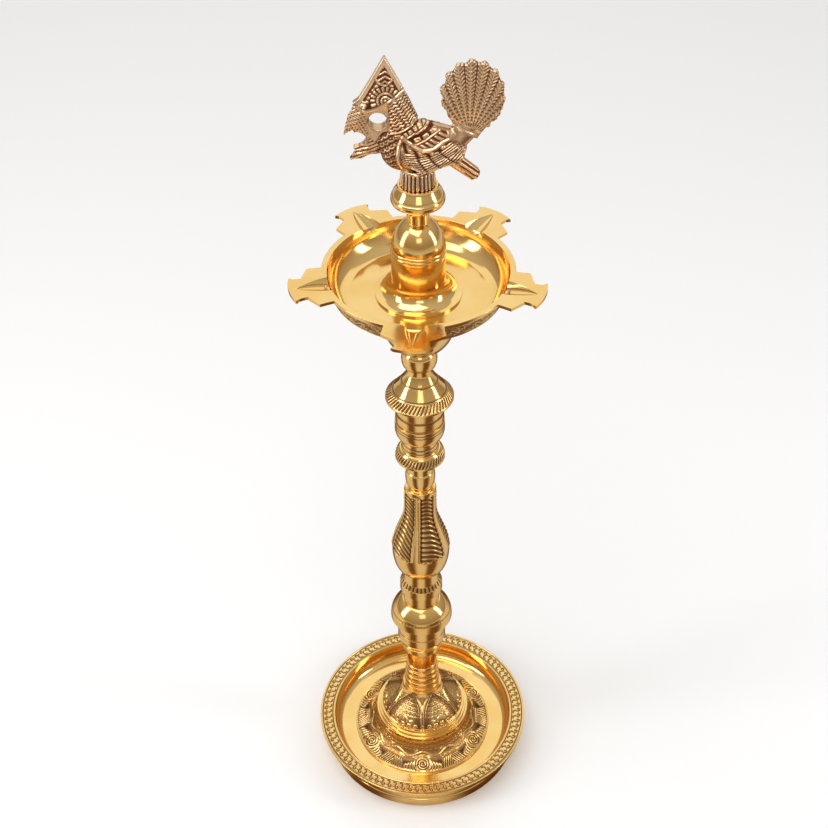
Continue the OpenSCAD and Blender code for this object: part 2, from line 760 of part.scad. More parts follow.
module bird_finial() {
    foot_r = bird_foot_d / 2;
    color(antique_brass)
    translate([0, 0, bird_z])
    difference() {
        union() {
            turned(concat([[foot_r, 0]],
                          ogee(foot_r, bird_foot_edge_h, foot_r - bird_foot_taper, bird_foot_h)));
            hull() {
                lump(breast_at, breast_r, body_t);
                lump(back_at, back_r, body_t);
                lump(rump_at, rump_r, rump_t);
            }
            hull() {
                lump(neck_root_at, neck_root_r, neck_root_t);
                lump(nape_at, nape_r, nape_t);
            }
            hull() {
                lump(tail_root_at, tail_root_r, tail_root_t);
                lump(tail_neck_at, tail_neck_r, tail_neck_t);
            }
            hull() {
                lump(stub_root_at, stub_root_r, stub_root_t);
                lump(stub_tip_at, stub_tip_r, stub_tip_t);
            }
            wing(1);
            wing(-1);
            upright_plate(head_t)
                difference() {
                    polygon(head_outline);
                    translate(throat_hole_at) circle(r = throat_hole_r);
                    translate(mouth_at) circle(r = mouth_r);
                }
            upright_plate(fan_t) fan_outline();
        }
        socket_above(0, finial_stud_d);
    }
}

drip_tray();
tray_stud();
lower_stem();
stem_stud();
leaf_baluster();
leaf_stud();
saucer_section();
saucer_stud();
bell_knop();
bowl_stud();
oil_bowl();
column_stud();
column_sleeve();
cap_stud();
column_cap();
finial_stud();
bird_finial();
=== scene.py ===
# %% [markdown]
# # A standing oil lamp in turned and cast brass
# The lamp is a stack of brass sections on one axis: a footed drip tray, a ringed stem, a leaf-carved
# vase, a saucer, a bell, an oil bowl with five wick spouts, a column and a bird on top. The packed
# model gives every section with its true size and joints. This lesson gives each one its looks.

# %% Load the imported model
import math
import bmesh
import bpy
import numpy as np
from mathutils import Matrix, Vector


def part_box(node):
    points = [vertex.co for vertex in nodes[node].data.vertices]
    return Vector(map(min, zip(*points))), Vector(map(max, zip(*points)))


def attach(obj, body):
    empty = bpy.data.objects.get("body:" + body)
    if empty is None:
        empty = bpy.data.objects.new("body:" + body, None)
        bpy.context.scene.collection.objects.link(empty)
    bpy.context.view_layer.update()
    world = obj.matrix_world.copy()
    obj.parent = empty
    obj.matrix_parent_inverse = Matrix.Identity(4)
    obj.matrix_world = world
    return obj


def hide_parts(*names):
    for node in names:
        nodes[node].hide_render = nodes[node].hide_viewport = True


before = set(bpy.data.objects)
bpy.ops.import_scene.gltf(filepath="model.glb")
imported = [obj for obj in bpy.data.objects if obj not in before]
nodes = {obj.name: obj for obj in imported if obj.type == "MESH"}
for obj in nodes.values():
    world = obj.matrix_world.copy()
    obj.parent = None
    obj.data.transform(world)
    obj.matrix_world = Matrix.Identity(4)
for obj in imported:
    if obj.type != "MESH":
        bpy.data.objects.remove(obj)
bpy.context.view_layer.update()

MM = 0.001
scene = bpy.context.scene
print("nodes in the frame:", len(nodes))

# %% [markdown]
# ## The camera
# The photograph looks down at the lamp from the front. The lens, the place and the three turns were
# solved from the circles of the tray and the bowl, so the picture lies over the photograph.

# %% Camera at the photograph's angle
LENS = 64.402
SENSOR_WIDTH = 36.0
CAMERA_AT = Vector((0.0, -0.6375, 0.8458))
LOOK_DOWN = math.radians(41.016)
LOOK_ASIDE = math.radians(-0.294)
ROLL = math.radians(-0.692)

ahead = Vector((math.sin(LOOK_ASIDE) * math.cos(LOOK_DOWN), math.cos(LOOK_ASIDE) * math.cos(LOOK_DOWN),
                -math.sin(LOOK_DOWN)))
level = Vector((math.cos(LOOK_ASIDE), -math.sin(LOOK_ASIDE), 0.0))
upward = level.cross(ahead)
right = math.cos(ROLL) * level + math.sin(ROLL) * upward
above = math.cos(ROLL) * upward - math.sin(ROLL) * level
camera = bpy.data.objects.new("camera", bpy.data.cameras.new("camera"))
camera.data.lens = LENS
camera.data.sensor_width = SENSOR_WIDTH
camera.data.clip_start = 0.01
camera.matrix_world = Matrix((right, above, -ahead)).transposed().to_4x4()
camera.location = CAMERA_AT
scene.collection.objects.link(camera)
scene.camera = camera
scene.view_settings.view_transform = "Standard"
print("camera", tuple(round(c, 4) for c in camera.location))

# %% [markdown]
# ## Nodes that read like sums
# A finish is a small network of nodes. One class holds a socket and lets it take part in plain sums,
# and one method makes every other node, so a finish below reads as a few lines of arithmetic.

# %% Helpers for finishes
class Wire:
    """One output socket of a finish that works in ordinary sums."""

    def __init__(self, finish, socket):
        self.finish = finish
        self.socket = socket

    def sum(self, operation, first, second):
        return self.finish.add("ShaderNodeMath", {"operation": operation}, {0: first, 1: second})

    def __add__(self, other):
        return self.sum("ADD", self, other)

    def __sub__(self, other):
        return self.sum("SUBTRACT", self, other)

    def __rsub__(self, other):
        return self.sum("SUBTRACT", other, self)

    def __mul__(self, other):
        return self.sum("MULTIPLY", self, other)

    __radd__ = __add__


class Finish:
    """A material with one Principled shader, built node by node."""

    def __init__(self, name):
        self.material = bpy.data.materials.new(name)
        self.material.use_nodes = True
        self.tree = self.material.node_tree
        self.tree.nodes.clear()

    def add(self, kind, settings=None, sockets=None, out=0):
        """Makes a node, sets its settings, then fills its sockets with numbers or wires."""
        node = self.tree.nodes.new(kind)
        for name, value in (settings or {}).items():
            setattr(node, name, value)
        for name, value in (sockets or {}).items():
            if isinstance(value, Wire):
                self.tree.links.new(value.socket, node.inputs[name])
            else:
                node.inputs[name].default_value = value
        return Wire(self, node.outputs[out])

    def mix(self, share, first, second):
        """A colour between two others."""
        return self.add("ShaderNodeMix", {"data_type": "RGBA"}, {0: share, 6: first, 7: second}, out=2)

    def ramp(self, value, low, high):
        """A value stretched from low..high to 0..1 with soft ends."""
        return self.add("ShaderNodeMapRange", {"interpolation_type": "SMOOTHSTEP"},
                        {"Value": value, "From Min": low, "From Max": high})

    def finish(self, sockets):
        """Ends the network in one shader and gives the material."""
        shader = self.add("ShaderNodeBsdfPrincipled", None, sockets)
        output = self.tree.nodes.new("ShaderNodeOutputMaterial")
        self.tree.links.new(shader.socket, output.inputs["Surface"])
        return self.material


# %% [markdown]
# ## Brass, three ways
# The turned sections are buffed bright, and dirt and lacquer stay in the engraved grounds, where the
# metal looks red-brown. The cutters' marks run round the axis, so one noise is read on radius and
# height only. A picture of brass could be wrapped round instead, but it would show seams. A carved
# piece carries a "patina" value on its points: 0 is bright metal, 1 is the brown of an engraved
# ground, and 2 is the black of a deep cut line. A piece without it is bright all over.

# %% Finishes
CUT_LINE = (0.035, 0.016, 0.008, 1)
LATHE_MARKS = 2600.0
CLOUDS = 38.0
SPECKS = 900.0
MARK_DEPTH = 0.0001


def brass(name, bright, warm, ground, gloss, ground_gloss, marks):
    """Brass with a buffed skin, a darker ground where patina gathers, and marks from the lathe."""
    f = Finish(name)
    place = f.add("ShaderNodeTexCoord", None, None, out="Object")
    patina = f.add("ShaderNodeAttribute", {"attribute_name": "patina"}, None, out="Fac")
    flat = f.add("ShaderNodeVectorMath", {"operation": "MULTIPLY"}, {0: place, 1: (1, 1, 0)})
    radius = f.add("ShaderNodeVectorMath", {"operation": "LENGTH"}, {0: flat}, out="Value")
    height = f.add("ShaderNodeSeparateXYZ", None, {0: place}, out="Z")
    turning = f.add("ShaderNodeCombineXYZ", None, {"X": radius, "Y": height})
    lines = f.add("ShaderNodeTexNoise", None, {"Vector": turning, "Scale": LATHE_MARKS, "Detail": 1.0})
    cloud = f.add("ShaderNodeTexNoise", None, {"Vector": place, "Scale": CLOUDS, "Detail": 3.0})
    speck = f.add("ShaderNodeTexNoise", None, {"Vector": place, "Scale": SPECKS, "Detail": 2.0})
    skin = f.mix(f.ramp(cloud, 0.3, 0.75), bright, warm)
    dirt = f.ramp(patina + speck * 0.35 - 0.17, 0.15, 0.95)
    colour = f.mix(f.ramp(patina, 1.0, 2.0), f.mix(dirt, skin, ground), CUT_LINE)
    rough = gloss + f.ramp(cloud, 0.35, 0.8) * 0.05 + dirt * ground_gloss + lines * 0.03
    grain = f.add("ShaderNodeBump", None, {"Strength": marks, "Distance": MARK_DEPTH, "Height": lines})
    return f.finish({"Base Color": colour, "Metallic": 1.0, "Roughness": rough, "Normal": grain})


polished = brass("buffed_brass", (0.90, 0.62, 0.255, 1), (0.86, 0.55, 0.185, 1), (0.28, 0.14, 0.055, 1),
                 0.085, 0.30, 0.10)
thread = brass("cut_brass", (0.70, 0.45, 0.15, 1), (0.60, 0.36, 0.11, 1), (0.10, 0.05, 0.02, 1),
               0.24, 0.30, 0.2)
antique = brass("aged_brass", (0.93, 0.69, 0.46, 1), (0.86, 0.55, 0.315, 1), (0.14, 0.045, 0.018, 1),
                0.17, 0.26, 0.0)
print("finishes:", polished.name, thread.name, antique.name)

# %% [markdown]
# ## The floor
# The lamp stands on a plain white floor, so wide that its end isn't seen from above. A grid of one face
# is all that a flat floor needs. Its white comes from the paint and not from strong lamps, so that the
# brass keeps its own colour.

# %% Floor
FLOOR_HALF = 12.0
FLOOR_DROP = 0.0002
FLOOR_WHITE = (0.955, 0.965, 0.985, 1)


def as_object(name, shape):
    """Puts a modelled shape into the scene."""
    data = bpy.data.meshes.new(name)
    shape.to_mesh(data)
    shape.free()
    piece = bpy.data.objects.new(name, data)
    scene.collection.objects.link(piece)
    return piece


def add_stage(name, shape, material):
    piece = as_object(name, shape)
    piece.data.materials.append(material)
    return piece


def matt(finish, colour, rough):
    """Ends a finish as paint or cloth without any gloss."""
    return finish.finish({"Base Color": colour, "Roughness": rough, "Specular IOR Level": 0.0})


floor = bmesh.new()
bmesh.ops.create_grid(floor, x_segments=1, y_segments=1, size=FLOOR_HALF,
                      matrix=Matrix.Translation((0, 0, -FLOOR_DROP)))
add_stage("floor", floor, matt(Finish("floor_paint"), FLOOR_WHITE, 0.7))
print("floor, metres from the lamp to its edge:", FLOOR_HALF)

# %% [markdown]
# ## A cloth for the polished metal to mirror
# Polished brass shows what is round it, and over a bare white floor it would look pale and flat. A
# photographer lays dark cards beside such a piece. Here a round cloth with soft pale and dark fields
# lies on the floor, and only reflections see it: it is hidden from the camera, from plain light and
# from shadows. So its pale and dark fields are painted reflections, seen only in the polished metal.

# %% Mirror cloth
CLOTH_RADIUS = 1.4
CLOTH_LIFT = 0.001
# Colours and layout of the painted reflections: pale and dark fields that only the brass mirrors.
REFLECTION_PALE = (0.70, 0.66, 0.59, 1)
REFLECTION_DARK = (0.17, 0.085, 0.035, 1)
REFLECTION_FIELDS = ((0.06, 0.12, 0.16, 0.22), (0.28, 0.34, 0.40, 0.47), (0.56, 0.66, 0.84, 0.94))


def painted_reflection_finish(name):
    """Painted reflections: pale and dark fields that fade into one another by their direction from the lamp.
    """
    f = Finish(name)
    place = f.add("ShaderNodeTexCoord", None, None, out="Object")
    turn = f.add("ShaderNodeTexGradient", {"gradient_type": "RADIAL"}, {"Vector": place}, out="Fac")
    shade = 0.0
    for first, full, fading, last in REFLECTION_FIELDS:
        shade = f.ramp(turn, first, full) * (1.0 - f.ramp(turn, fading, last)) + shade
    return matt(f, f.mix(shade, REFLECTION_PALE, REFLECTION_DARK), 0.9)


cloth = bmesh.new()
bmesh.ops.create_circle(cloth, cap_ends=True, segments=96, radius=CLOTH_RADIUS,
                        matrix=Matrix.Translation((0, 0, CLOTH_LIFT)))
mirror_cloth = add_stage("mirror_cloth", cloth, painted_reflection_finish("painted_reflection_fields"))
# The cloth shows only as a painted reflection in the metal: the camera, diffuse rays and shadows pass it by.
mirror_cloth.visible_camera = False
mirror_cloth.visible_diffuse = False
mirror_cloth.visible_shadow = False
print("dark fields on the cloth:", len(REFLECTION_FIELDS))

# %% [markdown]
# ## Lamps and room
# One large soft lamp hangs overhead, a wide and slightly cool one behind lights the floor, two tall ones
# stand at the sides, and a small one in front lights the bell and the spouts. The room is warm and dim
# at eye level and pale overhead, which gives the round sections a light core and deep amber edges.

# %% Lamps and room
WHITE = (1.0, 1.0, 1.0)
COOL = (0.92, 1.0, 1.0)
STUDIO_LAMPS = (
    ("overhead", (-0.35, -0.5, 1.8), (0, 0, 0.2), (1.5, 1.0), 12.2, WHITE),
    ("back", (0.0, 1.9, 1.75), (0, 0.6, 0.2), (3.2, 1.5), 8.3, COOL),
    ("left", (-1.3, -0.35, 0.8), (0, 0, 0.25), (0.4, 1.2), 5.9, WHITE),
    ("right", (1.35, -0.25, 0.8), (0, 0, 0.25), (0.3, 1.1), 4.6, WHITE),
    ("front", (0.12, -1.6, 1.3), (0, 0, 0.3), (0.7, 0.5), 1.5, WHITE),
)
ROOM_LOW = (0.35, 0.275, 0.20, 1)
ROOM_HIGH = (0.64, 0.63, 0.615, 1)


def soft_lamp(name, place, aim, size, power, tint):
    lamp = bpy.data.objects.new(name, bpy.data.lights.new(name, "AREA"))
    lamp.data.shape = "RECTANGLE"
    lamp.data.size = size[0]
    lamp.data.size_y = size[1]
    lamp.data.energy = power
    lamp.data.color = tint
    lamp.location = place
    lamp.rotation_euler = (Vector(aim) - Vector(place)).to_track_quat("-Z", "Y").to_euler()
    scene.collection.objects.link(lamp)


for studio_lamp in STUDIO_LAMPS:
    soft_lamp(*studio_lamp)
world = bpy.data.worlds.new("studio")
world.use_nodes = True
room = world.node_tree
way = room.nodes.new("ShaderNodeTexCoord")
height_of_way = room.nodes.new("ShaderNodeSeparateXYZ")
blend = room.nodes.new("ShaderNodeMix")
blend.data_type = "RGBA"
blend.inputs[6].default_value = ROOM_LOW
blend.inputs[7].default_value = ROOM_HIGH
room.links.new(way.outputs["Generated"], height_of_way.inputs[0])
room.links.new(height_of_way.outputs["Z"], blend.inputs[0])
room.links.new(blend.outputs[2], room.nodes["Background"].inputs["Color"])
scene.world = world

# %% [markdown]
# ## Turning a section again
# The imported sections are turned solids, so one cut through the axis gives the whole shape. A copy of
# the section is cut, and the cut is walked from axis to axis. Drawing every outline by hand would take
# long and would drift from the true sizes.

# %% Cut through a turned piece
CUT_BEARING = math.radians(1.3)


def everything(shape):
    return shape.verts[:] + shape.edges[:] + shape.faces[:]


def only(kind, parts):
    return [part for part in parts if isinstance(part, kind)]


def cut_outline(node, bearing):
    """The outline of a turned node on one side of its axis, as (radius, height) in millimetres."""
    outward = Vector((math.cos(bearing), math.sin(bearing), 0))
    across = Vector((-outward.y, outward.x, 0))
    cut = bmesh.new()
    cut.from_mesh(nodes[node].data)
    bmesh.ops.remove_doubles(cut, verts=cut.verts, dist=1e-7)
    for normal, only_cut in ((across, True), (-outward, False)):
        bmesh.ops.bisect_plane(cut, geom=everything(cut), dist=1e-9, plane_co=(0, 0, 0), plane_no=normal,
                               clear_outer=True, clear_inner=only_cut)
    spot = min((v for v in cut.verts if len(v.link_edges) == 1), key=lambda v: v.co.z)
    walked = []
    step = None
    while spot:
        walked.append(np.array((spot.co.dot(outward), spot.co.z)) / MM)
        onward = [edge for edge in spot.link_edges if edge is not step]
        step = onward[0] if onward else None
        spot = step.other_vert(spot) if step else None
    cut.free()
    return walked


# %% [markdown]
# ## From a cut to a smooth outline
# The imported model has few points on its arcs. Points on straight stretches are dropped, arcs get a
# point in the middle of each step, and stretches that will be carved are filled with many more.

# %% Outlines
CORNER = math.radians(26)
SAME_PLACE = 0.02
STRAIGHT = 0.025
MUCH_LONGER = 2.5
FLAT_ARC = 0.002


def straightened(points):
    """The outline without the points that lie on a straight stretch or on top of each other."""
    kept = [points[0]]
    for spot in points[1:]:
        if np.linalg.norm(spot - kept[-1]) > SAME_PLACE:
            kept.append(spot)
    bends = [kept[0]]
    for spot, after in zip(kept[1:], kept[2:]):
        chord = after - bends[-1]
        off = abs(chord[0] * (spot - bends[-1])[1] - chord[1] * (spot - bends[-1])[0])
        if off > STRAIGHT * np.linalg.norm(chord):
            bends.append(spot)
    return bends + [kept[-1]]


def rounded(points):
    """The outline with extra points that follow its arcs and leave corners and straights alone."""
    steps = [after - here for here, after in zip(points, points[1:])]
    sizes = [np.linalg.norm(step) for step in steps]
    heading = [step / size for step, size in zip(steps, sizes)]

    def tangent(own, other):
        if not 0 <= other < len(steps):
            return heading[own]
        bend = math.acos(max(-1.0, min(1.0, float(heading[own] @ heading[other]))))
        if bend > CORNER or sizes[own] > MUCH_LONGER * sizes[other]:
            return heading[own]
        if sizes[other] > MUCH_LONGER * sizes[own]:
            return heading[other]
        mean = heading[own] + heading[other]
        return mean / np.linalg.norm(mean)

    finer = [points[0]]
    for k, size in enumerate(sizes):
        bulge = (tangent(k, k - 1) - tangent(k, k + 1)) * size / 8
        if np.linalg.norm(bulge) > FLAT_ARC:
            finer.append((points[k] + points[k + 1]) / 2 + bulge)
        finer.append(points[k + 1])
    return finer


def outline_of(node, bearing=CUT_BEARING):
    return rounded(straightened(cut_outline(node, bearing)))


def filled_in(points, wanted, spacing):
    """The outline with points every so often on the stretches that are wanted."""
    dense = [points[0]]
    for here, after in zip(points, points[1:]):
        pieces = 1
        if wanted((here + after) / 2):
            pieces = max(1, math.ceil(np.linalg.norm(after - here) / spacing))
        dense += [here + (after - here) * k / pieces for k in range(1, pieces + 1)]
    return dense


# %% [markdown]
# ## Spinning an outline
# Sharp corners get the small break that a file leaves, and then the outline goes round the axis. A spin
# of many hundred steps is slow, so one sector is spun and the rest are turned copies of it.

# %% Spin
SECTOR_STEPS = 24
EDGE_BREAK = 0.22
NEAR_AXIS = 0.5


def turn_angle(before, here, after):
    first = here - before
    second = after - here
    cross = first[0] * second[1] - first[1] * second[0]
    return math.atan2(abs(cross), float(first @ second))


def repeat_round(shape, count):
    """Adds turned copies of a shape, until it stands so many times round the axis."""
    first = everything(shape)
    for k in range(1, count):
        copied = bmesh.ops.duplicate(shape, geom=first)["geom"]
        bmesh.ops.rotate(shape, verts=only(bmesh.types.BMVert, copied), cent=(0, 0, 0),
                         matrix=Matrix.Rotation(k * 2 * math.pi / count, 3, "Z"))


def spun(points, around, edge_break=EDGE_BREAK, closed=False):
    """Spins an outline round the axis, one sector first and then the rest as turned copies."""
    shape = bmesh.new()
    ring = [shape.verts.new((max(r, 0.0) * MM, 0, z * MM)) for r, z in points]
    for here, after in zip(ring, ring[1:] + (ring[:1] if closed else [])):
        shape.edges.new((here, after))
    corners = [vert for before, spot, after, vert in zip(points, points[1:], points[2:], ring[1:])
               if turn_angle(before, spot, after) > CORNER and spot[0] > NEAR_AXIS]
    if corners and edge_break:
        bmesh.ops.bevel(shape, geom=corners, offset=edge_break * MM, offset_type="OFFSET", affect="VERTICES",
                        segments=3, profile=0.5, material=-1, clamp_overlap=True)
    sectors = math.ceil(around / SECTOR_STEPS)
    bmesh.ops.spin(shape, geom=shape.verts[:] + shape.edges[:], cent=(0, 0, 0), axis=(0, 0, 1),
                   angle=2 * math.pi / sectors, steps=SECTOR_STEPS, use_duplicate=False)
    repeat_round(shape, sectors)
    bmesh.ops.remove_doubles(shape, verts=shape.verts, dist=2e-6)
    bmesh.ops.recalc_face_normals(shape, faces=shape.faces)
    return shape


# %% [markdown]
# ## From a shape to a piece
# A modelled shape is put into the scene, carved if it has ornament, shaded smooth between its sharp
# edges, and tied to the body that it moves with. Carving moves the points themselves, because a bump
# in the finish alone would leave the edges of the ornament flat when seen from the side.

# %% Pieces
def carve(data, pattern):
    """Moves the points along their normals by a pattern and keeps how dark each place is."""
    count = len(data.vertices)
    places = np.empty(count * 3, np.float32)
    normals = np.empty(count * 3, np.float32)
    data.vertices.foreach_get("co", places)
    data.vertices.foreach_get("normal", normals)
    places = places.reshape(-1, 3)
    lift, dark = pattern(places.astype(float) / MM)
    places += normals.reshape(-1, 3) * (lift * MM)[:, None].astype(np.float32)
    data.vertices.foreach_set("co", places.ravel())
    data.attributes.new("patina", "FLOAT", "POINT").data.foreach_set("value", dark.astype(np.float32))


def finish_piece(name, shape, body, material, stands_for=None, pattern=None, sharp=40):
    """Turns a modelled shape into a piece that rides on its body, carved by a pattern if one is given."""
    piece = as_object(name, shape)
    data = piece.data
    if pattern:
        carve(data, pattern)
    data.shade_smooth()
    data.set_sharp_from_angle(angle=math.radians(sharp))
    data.materials.append(material)
    piece.modifiers.new("flat_faces_stay_flat", "WEIGHTED_NORMAL").keep_sharp = True
    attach(piece, body)
    if stands_for:
        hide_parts(stands_for)
    print(name, "faces", len(data.polygons))


# %% [markdown]
# ## The column in the bowl
# A plain sleeve with a flared foot, and a cap with a double ring, a bell shoulder, a thin neck and
# the collar in which the bird sits. Both are left bright and plain. Their cuts already hold every ring,
# so they are only spun, and they show how the helpers work before ornament comes in.

# %% Column sleeve and cap
PLAIN_AROUND = 144

for name, node, body in (("turned_sleeve", "column_sleeve", "column"), ("turned_cap", "column_cap", "cap")):
    finish_piece(name, spun(outline_of(node), PLAIN_AROUND), body, polished, node)

# %% [markdown]
# ## Drawing on metal
# Most of the ornament is cast and then sharpened with punches and gravers. Here each pattern is a
# function of place: it says how far the skin stands out and how dark the ground is. A few small
# functions make the strokes, lines, steps and punched dots that the patterns share.

# %% Helpers for ornament
def about(places, count, first=-90.0):
    """The angle from the nearest of some marks spaced evenly round the axis, in radians."""
    share = 2 * math.pi / count
    bearing = np.arctan2(places[:, 1], places[:, 0]) - math.radians(first)
    return bearing - np.round(bearing / share) * share


def line(distance, width):
    return np.exp(-(distance / width) ** 2)


def rise(value, low, high):
    share = np.clip((value - low) / (high - low), 0, 1)
    return share * share * (3 - 2 * share)


def within(value, low, high, soft=0.3):
    return rise(value, low - soft, low + soft) * (1 - rise(value, high - soft, high + soft))


def stroke(u, v, points):
    """The distance to a stroke drawn through some points."""
    nearest = np.full(u.shape, 1e6)
    for (u0, v0), (u1, v1) in zip(points, points[1:]):
        du = u1 - u0
        dv = v1 - v0
        share = np.clip(((u - u0) * du + (v - v0) * dv) / (du * du + dv * dv), 0, 1)
        nearest = np.minimum(nearest, np.hypot(u - u0 - share * du, v - v0 - share * dv))
    return nearest


def punched(u, v, pitch):
    """Small round dents in a staggered grid."""
    row = np.round(v / pitch)
    along = u / pitch + 0.5 * (row % 2)
    return line(np.hypot(along - np.round(along), v / pitch - row), 0.34)


def scales(u, v, pitch):
    """Overlapping round scales, like tiles: 1 on their rims and low under the next one."""
    row = np.floor(v / pitch)
    across = u / (pitch * 1.15) + 0.5 * (row % 2)
    off = np.hypot((across - np.round(across)) * 1.15, v / pitch - row - 1.0)
    return 0.55 * line(off - 0.62, 0.13) + 0.45 * line(off, 0.3)


def ridges(phase):
    """Rounded ridges side by side, one for each whole number."""
    return 0.5 + 0.5 * np.cos(2 * math.pi * phase)


def top_of(places):
    return places[:, 2]


def reach_of(places):
    return np.hypot(places[:, 0], places[:, 1])


# %% [markdown]
# ## The stem
# The foot has rings and a bright flange, then come a waisted neck, a collar, a drum and a bulb. One
# row of small punched dents runs round the bulb, a little under its top. The dents are pushed into the
# skin, so the outline is filled with points there and left alone elsewhere.

# %% Lower stem
BULB_GROOVE = 128.0
BULB_DENTS = 56
STEM_SKIN = 6.0
STEM_AROUND = 336


def stem_pattern(places):
    along = about(places, BULB_DENTS) * reach_of(places)
    across = (top_of(places) - BULB_GROOVE) * 1.1
    outside = reach_of(places) > STEM_SKIN
    dent = line(np.hypot(along, across), 0.55) * outside
    groove = line(across, 0.9) * outside
    return -0.16 * groove - 0.30 * dent, 0.45 * groove + 0.5 * dent


def near_the_dents(spot):
    return abs(spot[1] - BULB_GROOVE) < 3 and spot[0] > STEM_SKIN


stem_outline = filled_in(outline_of("lower_stem"), near_the_dents, 0.4)
finish_piece("ringed_stem", spun(stem_outline, STEM_AROUND), "stem", polished, "lower_stem",
             stem_pattern)

# %% [markdown]
# ## The leaf baluster
# A vase shape with five smooth strips, each between two thin ribs, and a panel of drooping barbs
# between one strip and the next. The casting ends in small scallops above a plain polished belly.
# The ring at its foot is milled with square nicks. Each barb could be a bent strip of its own, but a
# pattern on one skin keeps the soft roots that a casting has.

# %% Leaf baluster
LEAVES = 5
LEAF_FIRST = -101.0
LEAF_TOP = 233.0
LEAF_END = 186.0
LEAF_SKIN = 8.0
LEAF_AROUND = 400
STRIP_HALF = 8.5
PANEL_HALF = 27.5
SCALLOP = 13.75
BARB_PITCH = 3.1
MILLED_NICKS = 30
MILLED_RING = (153.4, 156.6)


def leaf_pattern(places):
    height = top_of(places)
    reach = reach_of(places)
    outside = reach > LEAF_SKIN
    turn = np.degrees(about(places, LEAVES, LEAF_FIRST))
    panel = np.degrees(about(places, LEAVES, LEAF_FIRST + 180 / LEAVES))
    away = np.clip((panel + PANEL_HALF) / (2 * PANEL_HALF), 0, 1)
    arch = 1.2 * np.sin(away * 2.8) - 0.45 * reach * away ** 1.6
    beside_strip = (np.abs(turn) - STRIP_HALF) * np.radians(1) * reach
    rib = line(beside_strip, 0.5)
    barbs = ridges((height - arch) / BARB_PITCH) ** 1.2
    end = LEAF_END + 0.9 * np.cos(np.radians(panel * 360 / SCALLOP))
    leafy = within(height, LEAF_END, LEAF_TOP, 0.6) * outside
    inside_leaf = rise(height - end, -0.35, 0.35) * (1 - rise(height, LEAF_TOP - 3, LEAF_TOP)) * outside
    in_panel = rise(np.abs(turn) - STRIP_HALF, 0.8, 2.6) * inside_leaf
    edge = line(height - end, 0.45) * (np.abs(turn) > STRIP_HALF) * outside
    moat = line(beside_strip - 0.95, 0.4) * inside_leaf
    nick = line(np.hypot(np.radians(turn) * reach / 2.0, (height - LEAF_TOP - 0.6) / 0.5), 1.0) * outside
    milled = np.abs(about(places, MILLED_NICKS)) * reach
    slot = within(milled, -1, 0.5, 0.15) * within(height, *MILLED_RING, 0.35) * outside
    lift = 0.46 * rib * leafy + in_panel * (0.5 * barbs - 0.34) + 0.22 * edge - 0.3 * nick - 0.5 * slot
    dark = 1.35 * in_panel * (1 - barbs) + 1.2 * moat + 1.5 * slot + 1.2 * nick
    return lift, np.clip(dark, 0, 1.7)


def leaf_stretch(spot):
    on_leaf = LEAF_END - 2 < spot[1] < LEAF_TOP + 3
    on_ring = MILLED_RING[0] - 1.9 < spot[1] < MILLED_RING[1] + 2.4
    return spot[0] > LEAF_SKIN and (on_leaf or on_ring)


leaf_outline = filled_in(outline_of("leaf_baluster"), leaf_stretch, 0.42)
finish_piece("leaf_carved_vase", spun(leaf_outline, LEAF_AROUND), "leaf", polished,
             "leaf_baluster", leaf_pattern)

# %% [markdown]
# ## The saucer and the bell
# Both have a rope of slanted nicks round the widest edge, cut with a file or rolled with a knurl, and
# fine lines that a pointed tool left while they turned. Nicks and lines are alike on the two, so one
# function makes each of them from heights and counts.

# %% Saucer section and bell knop
SAUCER_NICKS = 44
SAUCER_ROPE = (261.0, 265.4)
SAUCER_LINES = (269.2, 271.4)
SAUCER_AROUND = 352
BELL_NICKS = 52
BELL_ROPE = (306.7, 310.3)
BELL_LINES = (284.2, 286.2, 288.4, 294.4, 311.5, 318.0)
BELL_AROUND = 364
TURNED_STEP = 0.35


def nicked(places, rope, least, nicks, slant):
    """A rope of slanted nicks between two heights, on the outer side only."""
    turn = np.arctan2(places[:, 1], places[:, 0])
    on_rope = within(top_of(places), *rope, 0.4) * (reach_of(places) > least)
    return on_rope * (1 - ridges(turn * nicks / (2 * math.pi) - top_of(places) * slant) ** 0.8)


def turned_lines(places, heights, least):
    """Fine lines cut with a pointed tool while the piece turns."""
    cuts = [line(top_of(places) - height, 0.32) for height in heights]
    return np.max(cuts, axis=0) * (reach_of(places) > least)


def saucer_pattern(places):
    nick = nicked(places, SAUCER_ROPE, 12.5, SAUCER_NICKS, 0.2)
    cut = turned_lines(places, SAUCER_LINES, 8.5)
    return -0.5 * nick - 0.15 * cut, 1.5 * nick + 1.3 * cut


def bell_pattern(places):
    nick = nicked(places, BELL_ROPE, 14.5, BELL_NICKS, 0.28)
    cut = turned_lines(places, BELL_LINES, 6.5)
    return -0.45 * nick - 0.15 * cut, 1.5 * nick + 1.3 * cut


def saucer_stretch(spot):
    return spot[0] > 8.5 and 258 < spot[1] < 273


def bell_stretch(spot):
    return spot[0] > 7 and 282 < spot[1] < 320


saucer_outline = filled_in(outline_of("saucer_section"), saucer_stretch, TURNED_STEP)
finish_piece("nicked_saucer", spun(saucer_outline, SAUCER_AROUND), "saucer", polished,
             "saucer_section", saucer_pattern)
bell_outline = filled_in(outline_of("bell_knop"), bell_stretch, TURNED_STEP)
finish_piece("nicked_bell", spun(bell_outline, BELL_AROUND), "knop", polished, "bell_knop",
             bell_pattern)

# %% [markdown]
# ## The drip tray
# The tray is one casting: a foot, a hollow trough to catch drips, a sloping skirt, three stepped
# rings and a dome. The rim, the skirt and the dome are chased all over. Each of these is a fine
# ring of metal on the same body, let into the plain tray, because it needs many more points.

